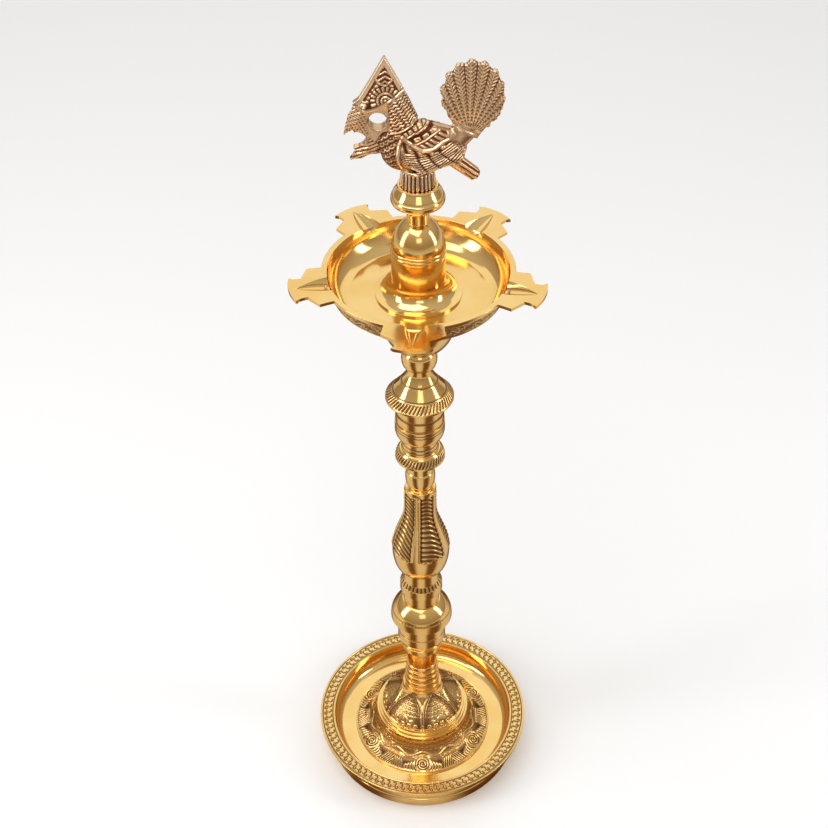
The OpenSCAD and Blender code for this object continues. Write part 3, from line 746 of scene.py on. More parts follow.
# %% Plain tray and where its ornament is let in
LET_IN = 0.45
TRAY_AROUND = 256
RIM = ((70, 22), (60, 22), 0.6, 0.5)
SKIRT = ((45.7, 12.6), (30.9, 26.5), 0.5, 0.5)
DOME = ((27, 33.7), (12.7, 54.5), 0.3, 0.5)


def nearest_to(points, place):
    return min(range(len(points)), key=lambda k: np.linalg.norm(points[k] - place))


def stretch(points, start, stop):
    """The part of an outline between the points nearest to two places, and where it starts."""
    first = nearest_to(points, start)
    return first, points[first:nearest_to(points, stop) + 1]


def run_along(points):
    """How far along an outline each of its points lies."""
    return np.concatenate(([0], np.cumsum(np.linalg.norm(np.diff(points, axis=0), axis=1))))


def spaced(points, head, tail, spacing):
    """Evenly spaced points along a stretch, less a margin at its head and tail."""
    points = np.array(points)
    run = run_along(points)
    count = max(2, math.ceil((run[-1] - head - tail) / spacing))
    stops = np.linspace(head, run[-1] - tail, count + 1)
    return np.column_stack([np.interp(stops, run, points[:, k]) for k in (0, 1)])


def pushed_in(points, depth):
    """The same points moved into the metal, which lies to the left of the walk."""
    along = np.gradient(points, axis=0)
    along /= np.linalg.norm(along, axis=1)[:, None]
    return points + depth * np.column_stack((-along[:, 1], along[:, 0]))


def let_in(points, start, stop, head, tail):
    """The outline with a shallow bed for a ring of ornament."""
    first, part = stretch(points, start, stop)
    bed = spaced(part, head, tail, 1.5)
    sunk = list(pushed_in(bed, LET_IN))
    return points[:first + 1] + [bed[0]] + sunk + [bed[-1]] + points[first + len(part) - 1:]


def ornament_ring(points, start, stop, head, tail, spacing, proud=0.0):
    """A closed outline for a ring of ornament: a fine face and a plain back."""
    part = stretch(points, start, stop)[1]
    face = pushed_in(spaced(part, head, tail, spacing), -proud)
    back = pushed_in(spaced(part, head, tail, 2.0), LET_IN * 1.5)
    return list(face) + list(back[::-1])


tray_outline = outline_of("drip_tray")
plain_outline = tray_outline
for zone in (RIM, SKIRT, DOME):
    plain_outline = let_in(plain_outline, *zone)
finish_piece("plain_tray", spun(plain_outline, TRAY_AROUND), "tray", polished, "drip_tray")

# %% [markdown]
# ## The tray's rim
# A flat band with two border lines. Between them a hook runs round, with a dot in each bend. The
# ground is punched down a little, so the hooks stand up bright. One hook is drawn as a stroke and
# repeated by its angle, which is how one punch goes round the rim.

# %% Rim band
RIM_REPEATS = 90
RIM_MIDDLE = 65.0
RIM_AROUND = 1440
HOOK = ((-2.1, -2.2), (-0.7, -2.3), (0.1, -1.3), (-0.3, 0.4), (0.2, 1.9), (1.3, 2.2), (1.9, 1.2), (1.2, 0.5))


def rim_pattern(places):
    reach = reach_of(places)
    pitch = 2 * math.pi * RIM_MIDDLE / RIM_REPEATS
    u = about(places, RIM_REPEATS) * reach
    v = reach - RIM_MIDDLE
    cut = line(np.abs(v) - 3.3, 0.3)
    for shift in (-pitch, 0, pitch):
        cut = np.maximum(cut, line(stroke(u - shift, v, HOOK), 0.4))
        cut = np.maximum(cut, line(np.hypot(u - shift + 1.25, v - 1.1), 0.45))
    edge = line(np.abs(v) - 3.85, 0.4)
    ground = within(v, -4.3, 4.3, 0.3) * (top_of(places) > 21.8)
    dots = punched(u, v, 0.9) * (1 - edge)
    return ground * (0.14 * edge - 0.26 * cut - 0.08 * dots), ground * (1.35 * cut + 0.25 * dots)


rim_ring = ornament_ring(tray_outline, *RIM, 0.3)
finish_piece("rim_band", spun(rim_ring, RIM_AROUND, 0, True), "tray", polished, None,
             rim_pattern)

# %% [markdown]
# ## The tray's skirt
# Six times round it: a spiral eye, a fan of curls on both sides, and combed lines up to the next one.
# Above them a wavy garland with small leaves runs under the rings. The ground is punched and dark. The
# skirt slopes, so the drawing is laid out by the distance along the slope and not by height.

# %% Skirt band
SKIRT_AROUND = 780
EYE_UP = 5.8
SPIRAL_PITCH = 1.7
GARLAND_UP = 12.2
GARLAND_WAVES = 12


def skirt_pattern(places):
    reach = reach_of(places)
    part = np.array(stretch(tray_outline, *SKIRT[:2])[1])
    run = run_along(part)
    v = np.interp(-reach, -part[:, 0], run)
    u = about(places, 6) * np.maximum(reach, 38)
    side = np.abs(u)
    drawn = np.maximum(line(v - 0.9, 0.3), line(v - run[-1] + 1.2, 0.4))
    eye = np.hypot(u, v - EYE_UP)
    spiral = eye - np.arctan2(v - EYE_UP, u) * SPIRAL_PITCH / (2 * math.pi)
    in_eye = 1 - rise(eye, 5.0, 5.5)
    drawn = np.maximum(drawn, in_eye * ridges(spiral / SPIRAL_PITCH) ** 0.8)
    drawn = np.maximum(drawn, line(eye - 5.6, 0.4))
    for k in range(4):
        root = 5.7 + 2.0 * k
        curl = ((root - 0.3, 7.6 - 0.9 * k), (root + 0.9, 5.6 - 0.6 * k), (root + 1.2, 3.2 - 0.2 * k),
                (root + 0.5, 1.3), (root - 0.4, 1.1))
        drawn = np.maximum(drawn, line(stroke(side, v, curl), 0.7))
    past_curls = rise(side, 13.2, 14.2)
    swell = 1.2 * np.cos((side - 20.5) / 6.5)
    comb = within(v, 1.2, 7.2 + swell, 0.5) * past_curls
    drawn = np.maximum(drawn, comb * ridges(side / 1.5) ** 0.7)
    drawn = np.maximum(drawn, line(v - 7.9 - swell, 0.4) * past_curls)
    swing = about(places, GARLAND_WAVES) * GARLAND_WAVES
    wave = GARLAND_UP + 1.6 * np.cos(swing)
    drawn = np.maximum(drawn, line(v - wave, 0.45))
    leaf_turn = about(places, 2 * GARLAND_WAVES, -82.5) * np.maximum(reach, 34)
    leaf_up = v - GARLAND_UP - 2.4 * np.cos(swing + 1.2)
    drawn = np.maximum(drawn, line(np.hypot(leaf_turn / 1.5, leaf_up / 0.85), 1.0))
    beside_garland = within(v, 9.4, 10.8, 0.4) + within(v, 14.6, run[-1] - 1.6, 0.3)
    petals = scales(about(places, 6) * 34, v - 0.4, 2.6) * beside_garland
    drawn = np.maximum(drawn, petals * (1 - line(v - wave, 1.2)))
    dots = punched(u, v, 1.05)
    ground = within(v, 0.9, run[-1] - 1.0, 0.35)
    lift = ground * (0.5 * drawn - 0.22 - 0.14 * dots * (1 - drawn))
    return lift, ground * (1 - drawn) * (1.7 - 1.0 * rise(v, 6, 9.5) + 0.1 * dots)


skirt_ring = ornament_ring(tray_outline, *SKIRT, 0.36)
finish_piece("skirt_band", spun(skirt_ring, SKIRT_AROUND, 0, True), "tray", polished, None,
             skirt_pattern)

# %% [markdown]
# ## The tray's dome
# Six panels shaped like arches. Two bright lines come down from the seat between neighbouring arches,
# meet like the arms of a letter Y and go on side by side to the foot, where small rings stand in a row.
# The arms' distance from the middle is one curve over the height, so they can be bent by two numbers.

# %% Dome band
DOME_RINGS = 36
DOME_AROUND = 540


def dome_pattern(places):
    height = top_of(places)
    reach = reach_of(places)
    share = (height - DOME[0][1]) / (DOME[1][1] - DOME[0][1])
    u = about(places, 6) * reach
    half = math.pi / 6 * reach
    gap = 0.75 + np.clip((share - 0.42) / 0.52, 0, 1) ** 2.2 * (half - 0.75)
    drawn = line(np.abs(u) - gap, 0.5)
    second = line(np.abs(u) - gap - 1.5, 0.3) * rise(share, 0.15, 0.4) * 0.8
    drawn = np.maximum(drawn, second)
    ring = np.hypot(about(places, DOME_RINGS) * reach, (height - 35.9) * 1.15)
    drawn = np.maximum(drawn, line(ring - 1.05, 0.42))
    panel = about(places, 6, -60) * reach
    sprig = np.hypot(panel, (height - 38.2) * 1.3)
    drawn = np.maximum(drawn, line(sprig - 2.6, 0.42) * (height > 37.6))
    drawn = np.maximum(drawn, line(np.hypot(panel / 0.8, (height - 39.6) / 1.2), 1.0))
    drawn = np.maximum(drawn, line(np.hypot(np.abs(panel) - 5.2, (height - 38.6) / 0.9), 1.0))
    polished_arm = (np.abs(u) < gap) * rise(share, 0.42, 0.5)
    opening = np.clip((share - 0.62) * 9, 0, 9)
    small_v = line(np.abs(u) - opening, 0.32) * within(share, 0.63, 0.82, 0.02)
    dots = punched(panel, height * 1.3, 0.95)
    veil = scales(panel, -height * 1.25, 2.5) * within(share, 0.3, 0.86, 0.05) * (np.abs(u) > gap + 2.2)
    drawn = np.maximum(drawn, 0.75 * veil)
    ground = within(height, DOME[0][1] + 0.5, DOME[1][1] - 0.7, 0.3)
    dark = np.maximum((1 - drawn) * (1 - polished_arm), small_v * 0.8)
    lift = 0.48 * drawn + 0.3 * polished_arm * (1 - drawn) - 0.24 - 0.16 * dots * dark - 0.2 * small_v
    beside_rib = 1 - rise(np.abs(u) - gap, 1.5, 6.0)
    return ground * lift, ground * dark * (0.5 + 0.75 * beside_rib + 0.15 * dots)


dome_ring = ornament_ring(tray_outline, *DOME, 0.34)
finish_piece("dome_band", spun(dome_ring, DOME_AROUND, 0, True), "tray", polished, None,
             dome_pattern)

# %% [markdown]
# ## The spouts of the oil bowl
# Five fish-tail spouts stand out from the bowl's rim. Each one is a flat plate with a boat-shaped belly
# below and a leaf-shaped channel above, in which a wick lies. The plate's outline is read from a level
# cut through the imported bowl, so that it keeps its true size.

# %% Spout's outline
RIM_TOP = 392.4
RIM_RADIUS = 51.4
PLATE = 1.8
SPOUTS = 5
FIRST_SPOUT = math.radians(-93)
SPOUT_MIDDLE = 57.0
SPOUT_TAIL = 66.0
ROOT_RADIUS = 49.8
ROOT_HALF = 0.308
CHANNEL_POINT = 65.6


def spout_outline():
    """One spout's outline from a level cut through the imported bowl, turned to lie along +X."""
    cut = bmesh.new()
    cut.from_mesh(nodes["oil_bowl"].data)
    bmesh.ops.remove_doubles(cut, verts=cut.verts, dist=1e-6)
    level = (0, 0, (RIM_TOP - PLATE / 2) * MM)
    bmesh.ops.bisect_plane(cut, geom=everything(cut), dist=1e-9, plane_co=level, plane_no=(0, 0, 1),
                           clear_outer=True, clear_inner=True)
    turn = Matrix.Rotation(-FIRST_SPOUT, 3, "Z")
    spots = [turn @ vert.co / MM for vert in cut.verts]
    cut.free()
    # The other spouts and the rim are left out first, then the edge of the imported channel
    spots = [spot for spot in spots if spot.x > 40 and math.hypot(spot.x, spot.y) > RIM_RADIUS + 0.2]
    spots = [spot for spot in spots if abs(spot.y) > 0.85 * (CHANNEL_POINT - spot.x) or spot.x > SPOUT_TAIL]
    spots.sort(key=lambda spot: math.atan2(spot.y, spot.x - SPOUT_MIDDLE))
    root = [(ROOT_RADIUS * math.cos(bearing), ROOT_RADIUS * math.sin(bearing))
            for bearing in np.linspace(ROOT_HALF, -ROOT_HALF, 12)]
    return [(spot.x, spot.y) for spot in spots] + root


outline = spout_outline()
print("spout outline", len(outline), [tuple(round(c, 1) for c in spot) for spot in outline[:3]])

# %% [markdown]
# ## A leaf-shaped channel
# The channel is a row of growing rings, joined one to the next and closed at both ends. It serves twice:
# grown by a wall and cut off level, it is the belly under the plate, and at its own size it is the tool
# that cuts the channel. A plain cone would do for both, but its straight sides look like a spike.

# %% Channel and belly
CHANNEL_LENGTH = 19.0
CHANNEL_HALF = (0.35, 6.0)
CHANNEL_DEPTH = (0.2, 4.0)
CHANNEL_RINGS = 20
WALL_MIDDLE = 48.1


def at_spouts(shape):
    """Copies a shape that lies along +X to all the spouts."""
    repeat_round(shape, SPOUTS)
    bmesh.ops.rotate(shape, verts=shape.verts, cent=(0, 0, 0), matrix=Matrix.Rotation(FIRST_SPOUT, 3, "Z"))
    bmesh.ops.recalc_face_normals(shape, faces=shape.faces)
    return shape


def channel_hollow(wall):
    """A leaf-shaped hollow along a spout, point outwards, grown by a wall: rings joined in a row."""
    shape = bmesh.new()
    loops = []
    for share in np.linspace(0, 1, CHANNEL_RINGS).tolist():
        half = CHANNEL_HALF[0] + (CHANNEL_HALF[1] - CHANNEL_HALF[0]) * (1 - (1 - share) ** 1.8)
        deep = CHANNEL_DEPTH[0] + (CHANNEL_DEPTH[1] - CHANNEL_DEPTH[0]) * share ** 1.1
        radius = (half * half + deep * deep) / (2 * deep)
        middle = Vector((CHANNEL_POINT - CHANNEL_LENGTH * share, 0, RIM_TOP + radius - deep)) * MM
        place = Matrix.Translation(middle) @ Matrix.Rotation(math.pi / 2, 4, "Y")
        ring = bmesh.ops.create_circle(shape, cap_ends=False, segments=72, radius=(radius + wall) * MM,
                                       matrix=place)["verts"]
        loops.append(list({edge for vert in ring for edge in vert.link_edges}))
    for here, after in zip(loops, loops[1:]):
        bmesh.ops.bridge_loops(shape, edges=here + after)
    bmesh.ops.holes_fill(shape, edges=loops[0] + loops[-1], sides=0)
    bmesh.ops.recalc_face_normals(shape, faces=shape.faces)
    return shape


def kept_part(shape, place, outward):
    """Cuts a closed shape with a plane, drops what lies outward and closes the cut."""
    cut = bmesh.ops.bisect_plane(shape, geom=everything(shape), dist=1e-9, plane_co=Vector(place) * MM,
                                 plane_no=outward, clear_outer=True)["geom_cut"]
    bmesh.ops.holes_fill(shape, edges=only(bmesh.types.BMEdge, cut), sides=0)
    return shape


belly = kept_part(channel_hollow(PLATE), (0, 0, RIM_TOP - PLATE / 2), (0, 0, 1))
belly = kept_part(belly, (WALL_MIDDLE, 0, 0), (-1, 0, 0))
print("belly faces", len(belly.faces))

# %% [markdown]
# ## The oil bowl
# The bowl itself is turned. Plates and bellies are joined to it and the channels are cut, all with exact
# Booleans, because the real bowl is one casting without seams. The result is kept as a plain mesh, so
# nothing has to be worked out again when the bowl moves.

# %% Oil bowl
BETWEEN_SPOUTS = math.radians(-57)
BOWL_AROUND = 240
PLATE_BREAK = 0.25


def baked(piece, tools=()):
    """The shape that a piece has after its modifiers. The piece and its tools are taken away."""
    depsgraph = bpy.context.evaluated_depsgraph_get()
    data = bpy.data.meshes.new_from_object(piece.evaluated_get(depsgraph), depsgraph=depsgraph)
    for used in (piece, *tools):
        bpy.data.objects.remove(used)
    shape = bmesh.new()
    shape.from_mesh(data)
    return shape


plates = bmesh.new()
top = plates.faces.new([plates.verts.new((x * MM, y * MM, RIM_TOP * MM)) for x, y in outline])
below = bmesh.ops.extrude_face_region(plates, geom=[top])["geom"]
bmesh.ops.translate(plates, vec=(0, 0, -PLATE * MM), verts=only(bmesh.types.BMVert, below))
rims = [edge for edge in plates.edges if abs(edge.verts[0].co.z - edge.verts[1].co.z) < 1e-6]
bmesh.ops.bevel(plates, geom=rims, offset=PLATE_BREAK * MM, offset_type="OFFSET", affect="EDGES", segments=2,
                profile=0.5, material=-1, clamp_overlap=True)
bowl_outline = outline_of("oil_bowl", BETWEEN_SPOUTS)
turned_bowl = as_object("turned_bowl", spun(bowl_outline, BOWL_AROUND))
tools = (("UNION", as_object("spout_plates", at_spouts(plates))),
         ("UNION", as_object("spout_bellies", at_spouts(belly))),
         ("DIFFERENCE", as_object("channel_hollows", at_spouts(channel_hollow(0.0)))))
for operation, tool in tools:
    step = turned_bowl.modifiers.new(tool.name, "BOOLEAN")
    step.operation = operation
    step.solver = "EXACT"
    step.object = tool
bowl = baked(turned_bowl, [tool for operation, tool in tools])
bmesh.ops.remove_doubles(bowl, verts=bowl.verts, dist=2e-6)
print("bowl edges that are open", sum(len(edge.link_faces) != 2 for edge in bowl.edges))
finish_piece("cast_bowl", bowl, "bowl", polished, "oil_bowl", None, 33)

# %% [markdown]
# ## The etched band on the bowl
# Round the outside of the bowl's wall runs a vine with curled tendrils and leaves. The ground was
# eaten away with acid and stayed dark red-brown. Like the tray's bands, it is a fine ring of its own on
# the bowl's body, so that the bowl needs no more points than its shape does.

# %% Bowl band
VINE_REPEATS = 20
VINE_MIDDLE = 384.6
VINE_AROUND = 800
WALL = ((44.8, 379.0), (50.4, 390.4), 0.7, 0.6)


def vine_pattern(places):
    reach = reach_of(places)
    v = (top_of(places) - VINE_MIDDLE) * 1.11
    phase = about(places, VINE_REPEATS)
    u = phase * reach
    swing = np.cos(phase * VINE_REPEATS)
    drawn = np.maximum(line(np.abs(v) - 5.2, 0.3), line(v - 2.2 * swing, 0.42))
    for sign, start in ((1, 0.0), (-1, 180.0 / VINE_REPEATS)):
        along = about(places, VINE_REPEATS, -90 + start) * reach
        curl = np.hypot(along, v + 1.6 * sign)
        turn = np.arctan2((v + 1.6 * sign) * sign, along)
        tendril = ridges((curl - turn * 1.5 / (2 * math.pi)) / 1.5) ** 2 * (1 - rise(curl, 2.3, 2.7))
        drawn = np.maximum(drawn, tendril)
        leaf = np.hypot((np.abs(along) - 3.4) / 1.1, (v + 3.2 * sign) / 0.7)
        drawn = np.maximum(drawn, line(leaf, 1.0))
    ground = within(v, -5.6, 5.6, 0.3)
    dots = punched(u, v, 0.95)
    lift = 0.34 * drawn - 0.14 - 0.1 * dots * (1 - drawn)
    return ground * lift, ground * (1 - drawn) * (0.85 + 0.15 * dots)


vine_ring = ornament_ring(bowl_outline, *WALL, 0.36, 0.3)
finish_piece("etched_band", spun(vine_ring, VINE_AROUND, 0, True), "bowl", polished, None,
             vine_pattern)

# %% [markdown]
# ## The bird: one skin
# The finial is a small solid casting of a crested bird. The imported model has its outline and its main
# masses. A copy gets a fuller neck and cheek, and all of it is joined into one even skin. Sculpting it
# by hand would give livelier forms, but a skin over balls and plates can be made again the same way.

# %% Bird's skin
BIRD_SEAT = 443.4
SKIN_STEP = 0.00036
CREST_LEFT = ((-15.4, 71.6), (-22.0, 60.0), (-28.0, 49.8), (-31.0, 47.4))
CREST_RIGHT = ((-15.4, 71.6), (-9.4, 60.0), (-3.9, 49.3), (0.5, 39.0))
FACE_EDGE = ((-24.0, 18.6), (-33.8, 16.4), (-30.2, 20.8), (-31.8, 23.4), (-28.4, 24.0), (-31.5, 33.0),
             (-36.2, 30.0), (-33.6, 40.0), (-31.0, 44.6))
HEAD_EDGE = FACE_EDGE + CREST_LEFT[::-1] + CREST_RIGHT[1:]
FAN_AT = (27.0, 50.2)
FAN_SIZE = (15.0, 18.2)
FAN_ROOT = (25.6, 29.0)
PLUME = math.radians(9.5)
PLUME_TIP = 1.4
LUMPS = (((-6.0, 27.0, 9.5, 16.5), (-7.6, 37.0, 6.3, 12.5)),
         ((-7.6, 37.0, 6.3, 12.5), (-9.5, 47.0, 6.3, 9.0)),
         ((-3.4, 38.0, 3.6, 12.0), (-8.0, 48.0, 3.6, 8.6)),
         ((-15.0, 49.0, 5.0, 8.8), (-24.0, 46.0, 4.2, 8.2)),
         ((-12.0, 26.0, 7.5, 13.0), (-17.0, 23.5, 3.6, 8.4)),
         ((2.0, 31.0, 6.5, 14.0), (16.0, 28.0, 5.5, 11.0)))
BALLS_A_LUMP = 7


def add_lump(shape, first, second):
    """Balls set close together from one to another: across, up, radius and thickness each."""
    for share in np.linspace(0, 1, BALLS_A_LUMP):
        across, up, radius, thick = np.array(first) * (1 - share) + np.array(second) * share
        ball = bmesh.ops.create_icosphere(shape, subdivisions=3, radius=1.0)["verts"]
        bmesh.ops.scale(shape, vec=Vector((radius, thick / 2, radius)) * MM, verts=ball)
        bmesh.ops.translate(shape, vec=Vector((across, 0, BIRD_SEAT + up)) * MM, verts=ball)


masses = bmesh.new()
masses.from_mesh(nodes["bird_finial"].data)
bmesh.ops.remove_doubles(masses, verts=masses.verts, dist=1e-6)
for first, second in LUMPS:
    add_lump(masses, first, second)
rough_bird = as_object("bird_masses", masses)
skin = rough_bird.modifiers.new("one_skin", "REMESH")
skin.mode = "VOXEL"
skin.voxel_size = SKIN_STEP
soften = rough_bird.modifiers.new("soften", "SMOOTH")
soften.iterations = 6
bird = baked(rough_bird)
print("bird skin faces", len(bird.faces))

# %% [markdown]
# ## The bird: thin edges
# In the casting the crest and the fan are thick in the middle and thin at the edge, and each plume of
# the fan ends in a small point. How far a place lies from the edge says how thin it gets.

# %% Bird's edges
spots = np.array([vert.co for vert in bird.verts]) / MM
across = spots[:, 0]
up = spots[:, 2] - BIRD_SEAT
on_head = rise(up - 0.35 * (across + 12), 24, 30) * (across < 4) + (across < -21)
head_thin = 0.40 + 0.62 * rise(stroke(across, up, HEAD_EDGE), 0, 5.0)
fan_far = np.hypot((across - FAN_AT[0]) / FAN_SIZE[0], (up - FAN_AT[1]) / FAN_SIZE[1])
over_tail = up + 0.57 * (across - 17.3)
on_fan = rise(over_tail, 34.5, 37.5) * (across > 10)
fan_thin = 1.15 - 0.65 * np.clip(fan_far, 0, 1) ** 2
thin = 1 + np.clip(on_head, 0, 1) * (head_thin - 1) + on_fan * (fan_thin - 1)
plume = np.arctan2(across - FAN_ROOT[0], up - FAN_ROOT[1]) / PLUME
tip = (1 - 2 * np.abs(plume - np.round(plume))) * rise(fan_far, 0.8, 1.0) * PLUME_TIP * MM
tip *= rise(over_tail, 41, 46) * (across > 10)
fan_middle = Vector((FAN_AT[0], 0, BIRD_SEAT + FAN_AT[1])) * MM
for vert, share, out in zip(bird.verts, thin, tip.tolist()):
    away = vert.co - fan_middle
    vert.co += Vector((away.x, 0, away.z)).normalized() * out
    vert.co.y *= share
bird.normal_update()
flank = np.array([abs(vert.normal.y) for vert in bird.verts])
print("thinnest share of the bird's thickness", round(float(thin.min()), 2))

# %% [markdown]
# ## The bird: where its feathers lie
# Every part of the bird has its own pattern: a framed crest with a half sun, combed feathers on the neck,
# two collars of square beads, scales on the breast, four rows of wing feathers, a fan of herringbone
# plumes and a fluted foot. The parts are laid out as a few points each, seen from the side.

# %% Outlines of the feathers
SUN = (-15.1, 50.0)
CREST_PANEL = [(-15.4, 68.6), (-18.2, 64.6), (-19.7, 61.4), (-17.6, 59.2), (-14.9, 58.4), (-12.4, 60.2),
               (-11.2, 63.0), (-12.9, 65.6)]
BAND = ((-30.0, 45.6), (-24.9, 43.9), (-20.0, 45.6), (-15.6, 48.0), (-10.5, 51.2), (-5.4, 54.8))
UPPER_COLLAR = ((-13.0, 32.8), (-9.4, 33.9), (-4.6, 36.2), (1.4, 39.8))
MIDDLE_COLLAR = ((-7.4, 30.6), (-5.2, 31.3), (-0.4, 33.4), (5.6, 37.0))
LOWER_COLLAR = ((-3.4, 26.8), (-1.6, 27.6), (4.0, 30.0), (11.0, 34.2))
WING_FRONT = ((-7.0, 32.2), (-8.8, 28.0), (-9.5, 23.1), (-8.9, 18.0), (-7.3, 13.8), (-4.0, 11.4), (0.4, 10.4))
WING_TOP = ((-7.3, 31.8), (-4.8, 29.4), (-2.0, 27.2), (2.7, 25.2), (7.5, 25.8), (11.7, 28.0), (15.6, 29.4))
WING_EDGE = [(-7.3, 31.6), (-9.5, 23.1), (-8.9, 18.0), (-7.3, 13.8), (-4.0, 11.2), (2.0, 9.8), (9.0, 10.6),
             (16.0, 13.0), (23.5, 17.5), (26.0, 21.0), (22.5, 26.5), (15.6, 29.2), (11.7, 27.8), (7.5, 25.6),
             (2.7, 25.0), (-2.0, 27.0)]
FEATHER_ROWS = (((-3.4, 24.6), (-1.6, 18.4), (3.4, 10.6)), ((2.2, 22.6), (5.6, 17.0), (11.0, 11.6)),
                ((7.8, 23.4), (12.0, 18.4), (17.8, 14.2)), ((13.2, 25.8), (17.6, 21.6), (24.0, 18.0)))
NECK = [(-13.8, 47.6), (-5.6, 53.0), (-3.2, 48.0), (1.0, 40.0), (-4.6, 36.6), (-9.4, 34.3), (-13.2, 33.6),
        (-13.9, 42.0)]
BREAST = [(-13.4, 33.4), (-10.6, 33.0), (-8.0, 31.6), (-9.8, 27.0), (-10.6, 22.0), (-9.6, 17.0), (-7.6, 12.6),
          (-12.0, 12.8), (-17.0, 18.0), (-20.4, 22.6), (-20.4, 27.8), (-17.0, 32.6)]
BACK = list(LOWER_COLLAR[1:]) + [(14.5, 33.2), (15.6, 29.8), (11.7, 28.4), (7.5, 26.2), (2.7, 25.6)]
BEAK = [(-36.4, 29.0), (-34.2, 40.0), (-31.2, 45.0), (-25.0, 42.4), (-24.8, 36.0), (-24.0, 30.0),
        (-27.0, 32.6), (-31.0, 33.4)]
WATTLE = [(-34.0, 15.6), (-28.0, 16.4), (-21.6, 19.6), (-19.0, 26.0), (-23.6, 30.0), (-24.6, 25.2),
          (-31.8, 23.6)]
STUB = [(19.6, 17.4), (24.6, 20.4), (31.8, 9.6), (29.6, 4.4), (25.6, 4.2)]
FOOT_FLUTES = 24


def inside(u, v, corners, soft=0.4):
    """1 inside a closed outline and 0 outside it, with a soft edge."""
    within_outline = np.zeros(u.shape, bool)
    closed = list(corners) + [corners[0]]
    for (u0, v0), (u1, v1) in zip(closed, closed[1:]):
        if v0 != v1:
            crosses = (v0 > v) != (v1 > v)
            within_outline ^= crosses & (u < (u1 - u0) * (v - v0) / (v1 - v0) + u0)
    edge = stroke(u, v, closed)
    return rise(np.where(within_outline, edge, -edge), -soft, soft)


def run_of(u, v, points):
    """How far along a stroke each place lies, and how far to its side."""
    best = np.full(u.shape, 1e6)
    along = np.zeros(u.shape)
    aside = np.zeros(u.shape)
    gone = 0.0
    for (u0, v0), (u1, v1) in zip(points, points[1:]):
        size = math.hypot(u1 - u0, v1 - v0)
        du = (u1 - u0) / size
        dv = (v1 - v0) / size
        reach = np.clip((u - u0) * du + (v - v0) * dv, 0, size)
        off = np.hypot(u - u0 - reach * du, v - v0 - reach * dv)
        nearer = off < best
        best = np.where(nearer, off, best)
        along = np.where(nearer, gone + reach, along)
        aside = np.where(nearer, (v - v0) * du - (u - u0) * dv, aside)
        gone += size
    return along, aside


# %% [markdown]
# ## The bird: crest, wing and fan
# The three richest parts get a function each. It gives how high every place is raised, and where the
# part lies, so that one part can be laid over another.

# %% Crest, wing and fan
def crest_relief(u, v):
    edge = np.minimum(stroke(u, v, CREST_LEFT), stroke(u, v, CREST_RIGHT))
    raised = 1 - rise(edge, 1.2, 2.1)
    eye = np.hypot(u + 26.6, v - 47.2)
    raised = np.maximum(raised, np.maximum(line(eye - 1.5, 0.4), line(eye, 0.7)))
    panel = inside(u, v, CREST_PANEL)
    raised = np.maximum(raised, line(stroke(u, v, CREST_PANEL + CREST_PANEL[:1]) - 0.5, 0.45) * (1 - panel))
    leaf = ridges((np.abs(u + 15.2) * 0.75 + (v - 58)) / 2.3) ** 2 * panel * 0.7
    from_sun = np.hypot(u - SUN[0], v - SUN[1])
    ray_turn = np.arctan2(v - SUN[1], u - SUN[0])
    over_band = rise(v - SUN[1] - 0.55 * (u - SUN[0]), -1.6, -0.8)
    sun = np.maximum(line(from_sun - 3.8, 0.5), np.maximum(line(from_sun - 1.9, 0.45), line(from_sun, 0.7)))
    rays = ridges(ray_turn * 18 / (2 * math.pi)) * within(from_sun, 4.9, 7.3, 0.25)
    beads = line(np.hypot(edge - 3.6, ((v * 1.15) % 2.4) - 1.2), 0.75)
    beads = beads * rise(from_sun, 7.4, 8.0) * (1 - panel) * (edge < 5)
    raised = np.maximum(raised, np.maximum(sun, rays) * over_band)
    raised = np.maximum(raised, beads)
    raised = np.maximum(raised, leaf)
    zone = rise(v - 46.5 - 0.62 * (u + 17), 0, 1.0) * rise(v, 44.5, 46.0)
    return raised * zone, zone


def wing_relief(u, v):
    wing = inside(u, v, WING_EDGE)
    nearest = np.full(u.shape, 1e6)
    second = np.full(u.shape, 1e6)
    barbs = np.zeros(u.shape)
    for points in FEATHER_ROWS:
        along, aside = run_of(u, v, points)
        off = np.abs(aside)
        second = np.where(off < nearest, nearest, np.minimum(second, off))
        barbs = np.where(off < nearest, ridges((along - 0.35 * aside) / 1.35) ** 1.3, barbs)
        nearest = np.minimum(nearest, off)
    parting = line(second - nearest, 0.75)
    shoulder = rise(4.2 - nearest, 0, 0.6)
    punched_ground = (1 - shoulder) * (1 - punched(u, v, 1.3)) * 0.5
    return wing * (shoulder * barbs * (1 - parting) + punched_ground), wing


def fan_relief(u, v):
    far = np.hypot(u - FAN_ROOT[0], v - FAN_ROOT[1])
    plume = np.arctan2(u - FAN_ROOT[0], v - FAN_ROOT[1]) / PLUME
    aside = np.abs(plume - np.round(plume))
    fan = rise(v + 0.57 * (u - 17.3), 38.2, 39.2) * (u > 10)
    quill = line(aside * far * PLUME, 0.3)
    parting = rise(aside, 0.40, 0.48)
    barbs = ridges((far - aside * far * 0.16) / 1.9) ** 0.8 * rise(far, 6.5, 9)
    return fan * (0.12 + 0.88 * np.maximum(0.9 * quill, barbs * (1 - parting))), fan


# %% [markdown]
# ## The bird: chased feathers
# All parts are laid on the skin from the lowest layer to the highest, and the bars that frame them come
# last. Polish has worn the raised lines bright and left the hollows dark.

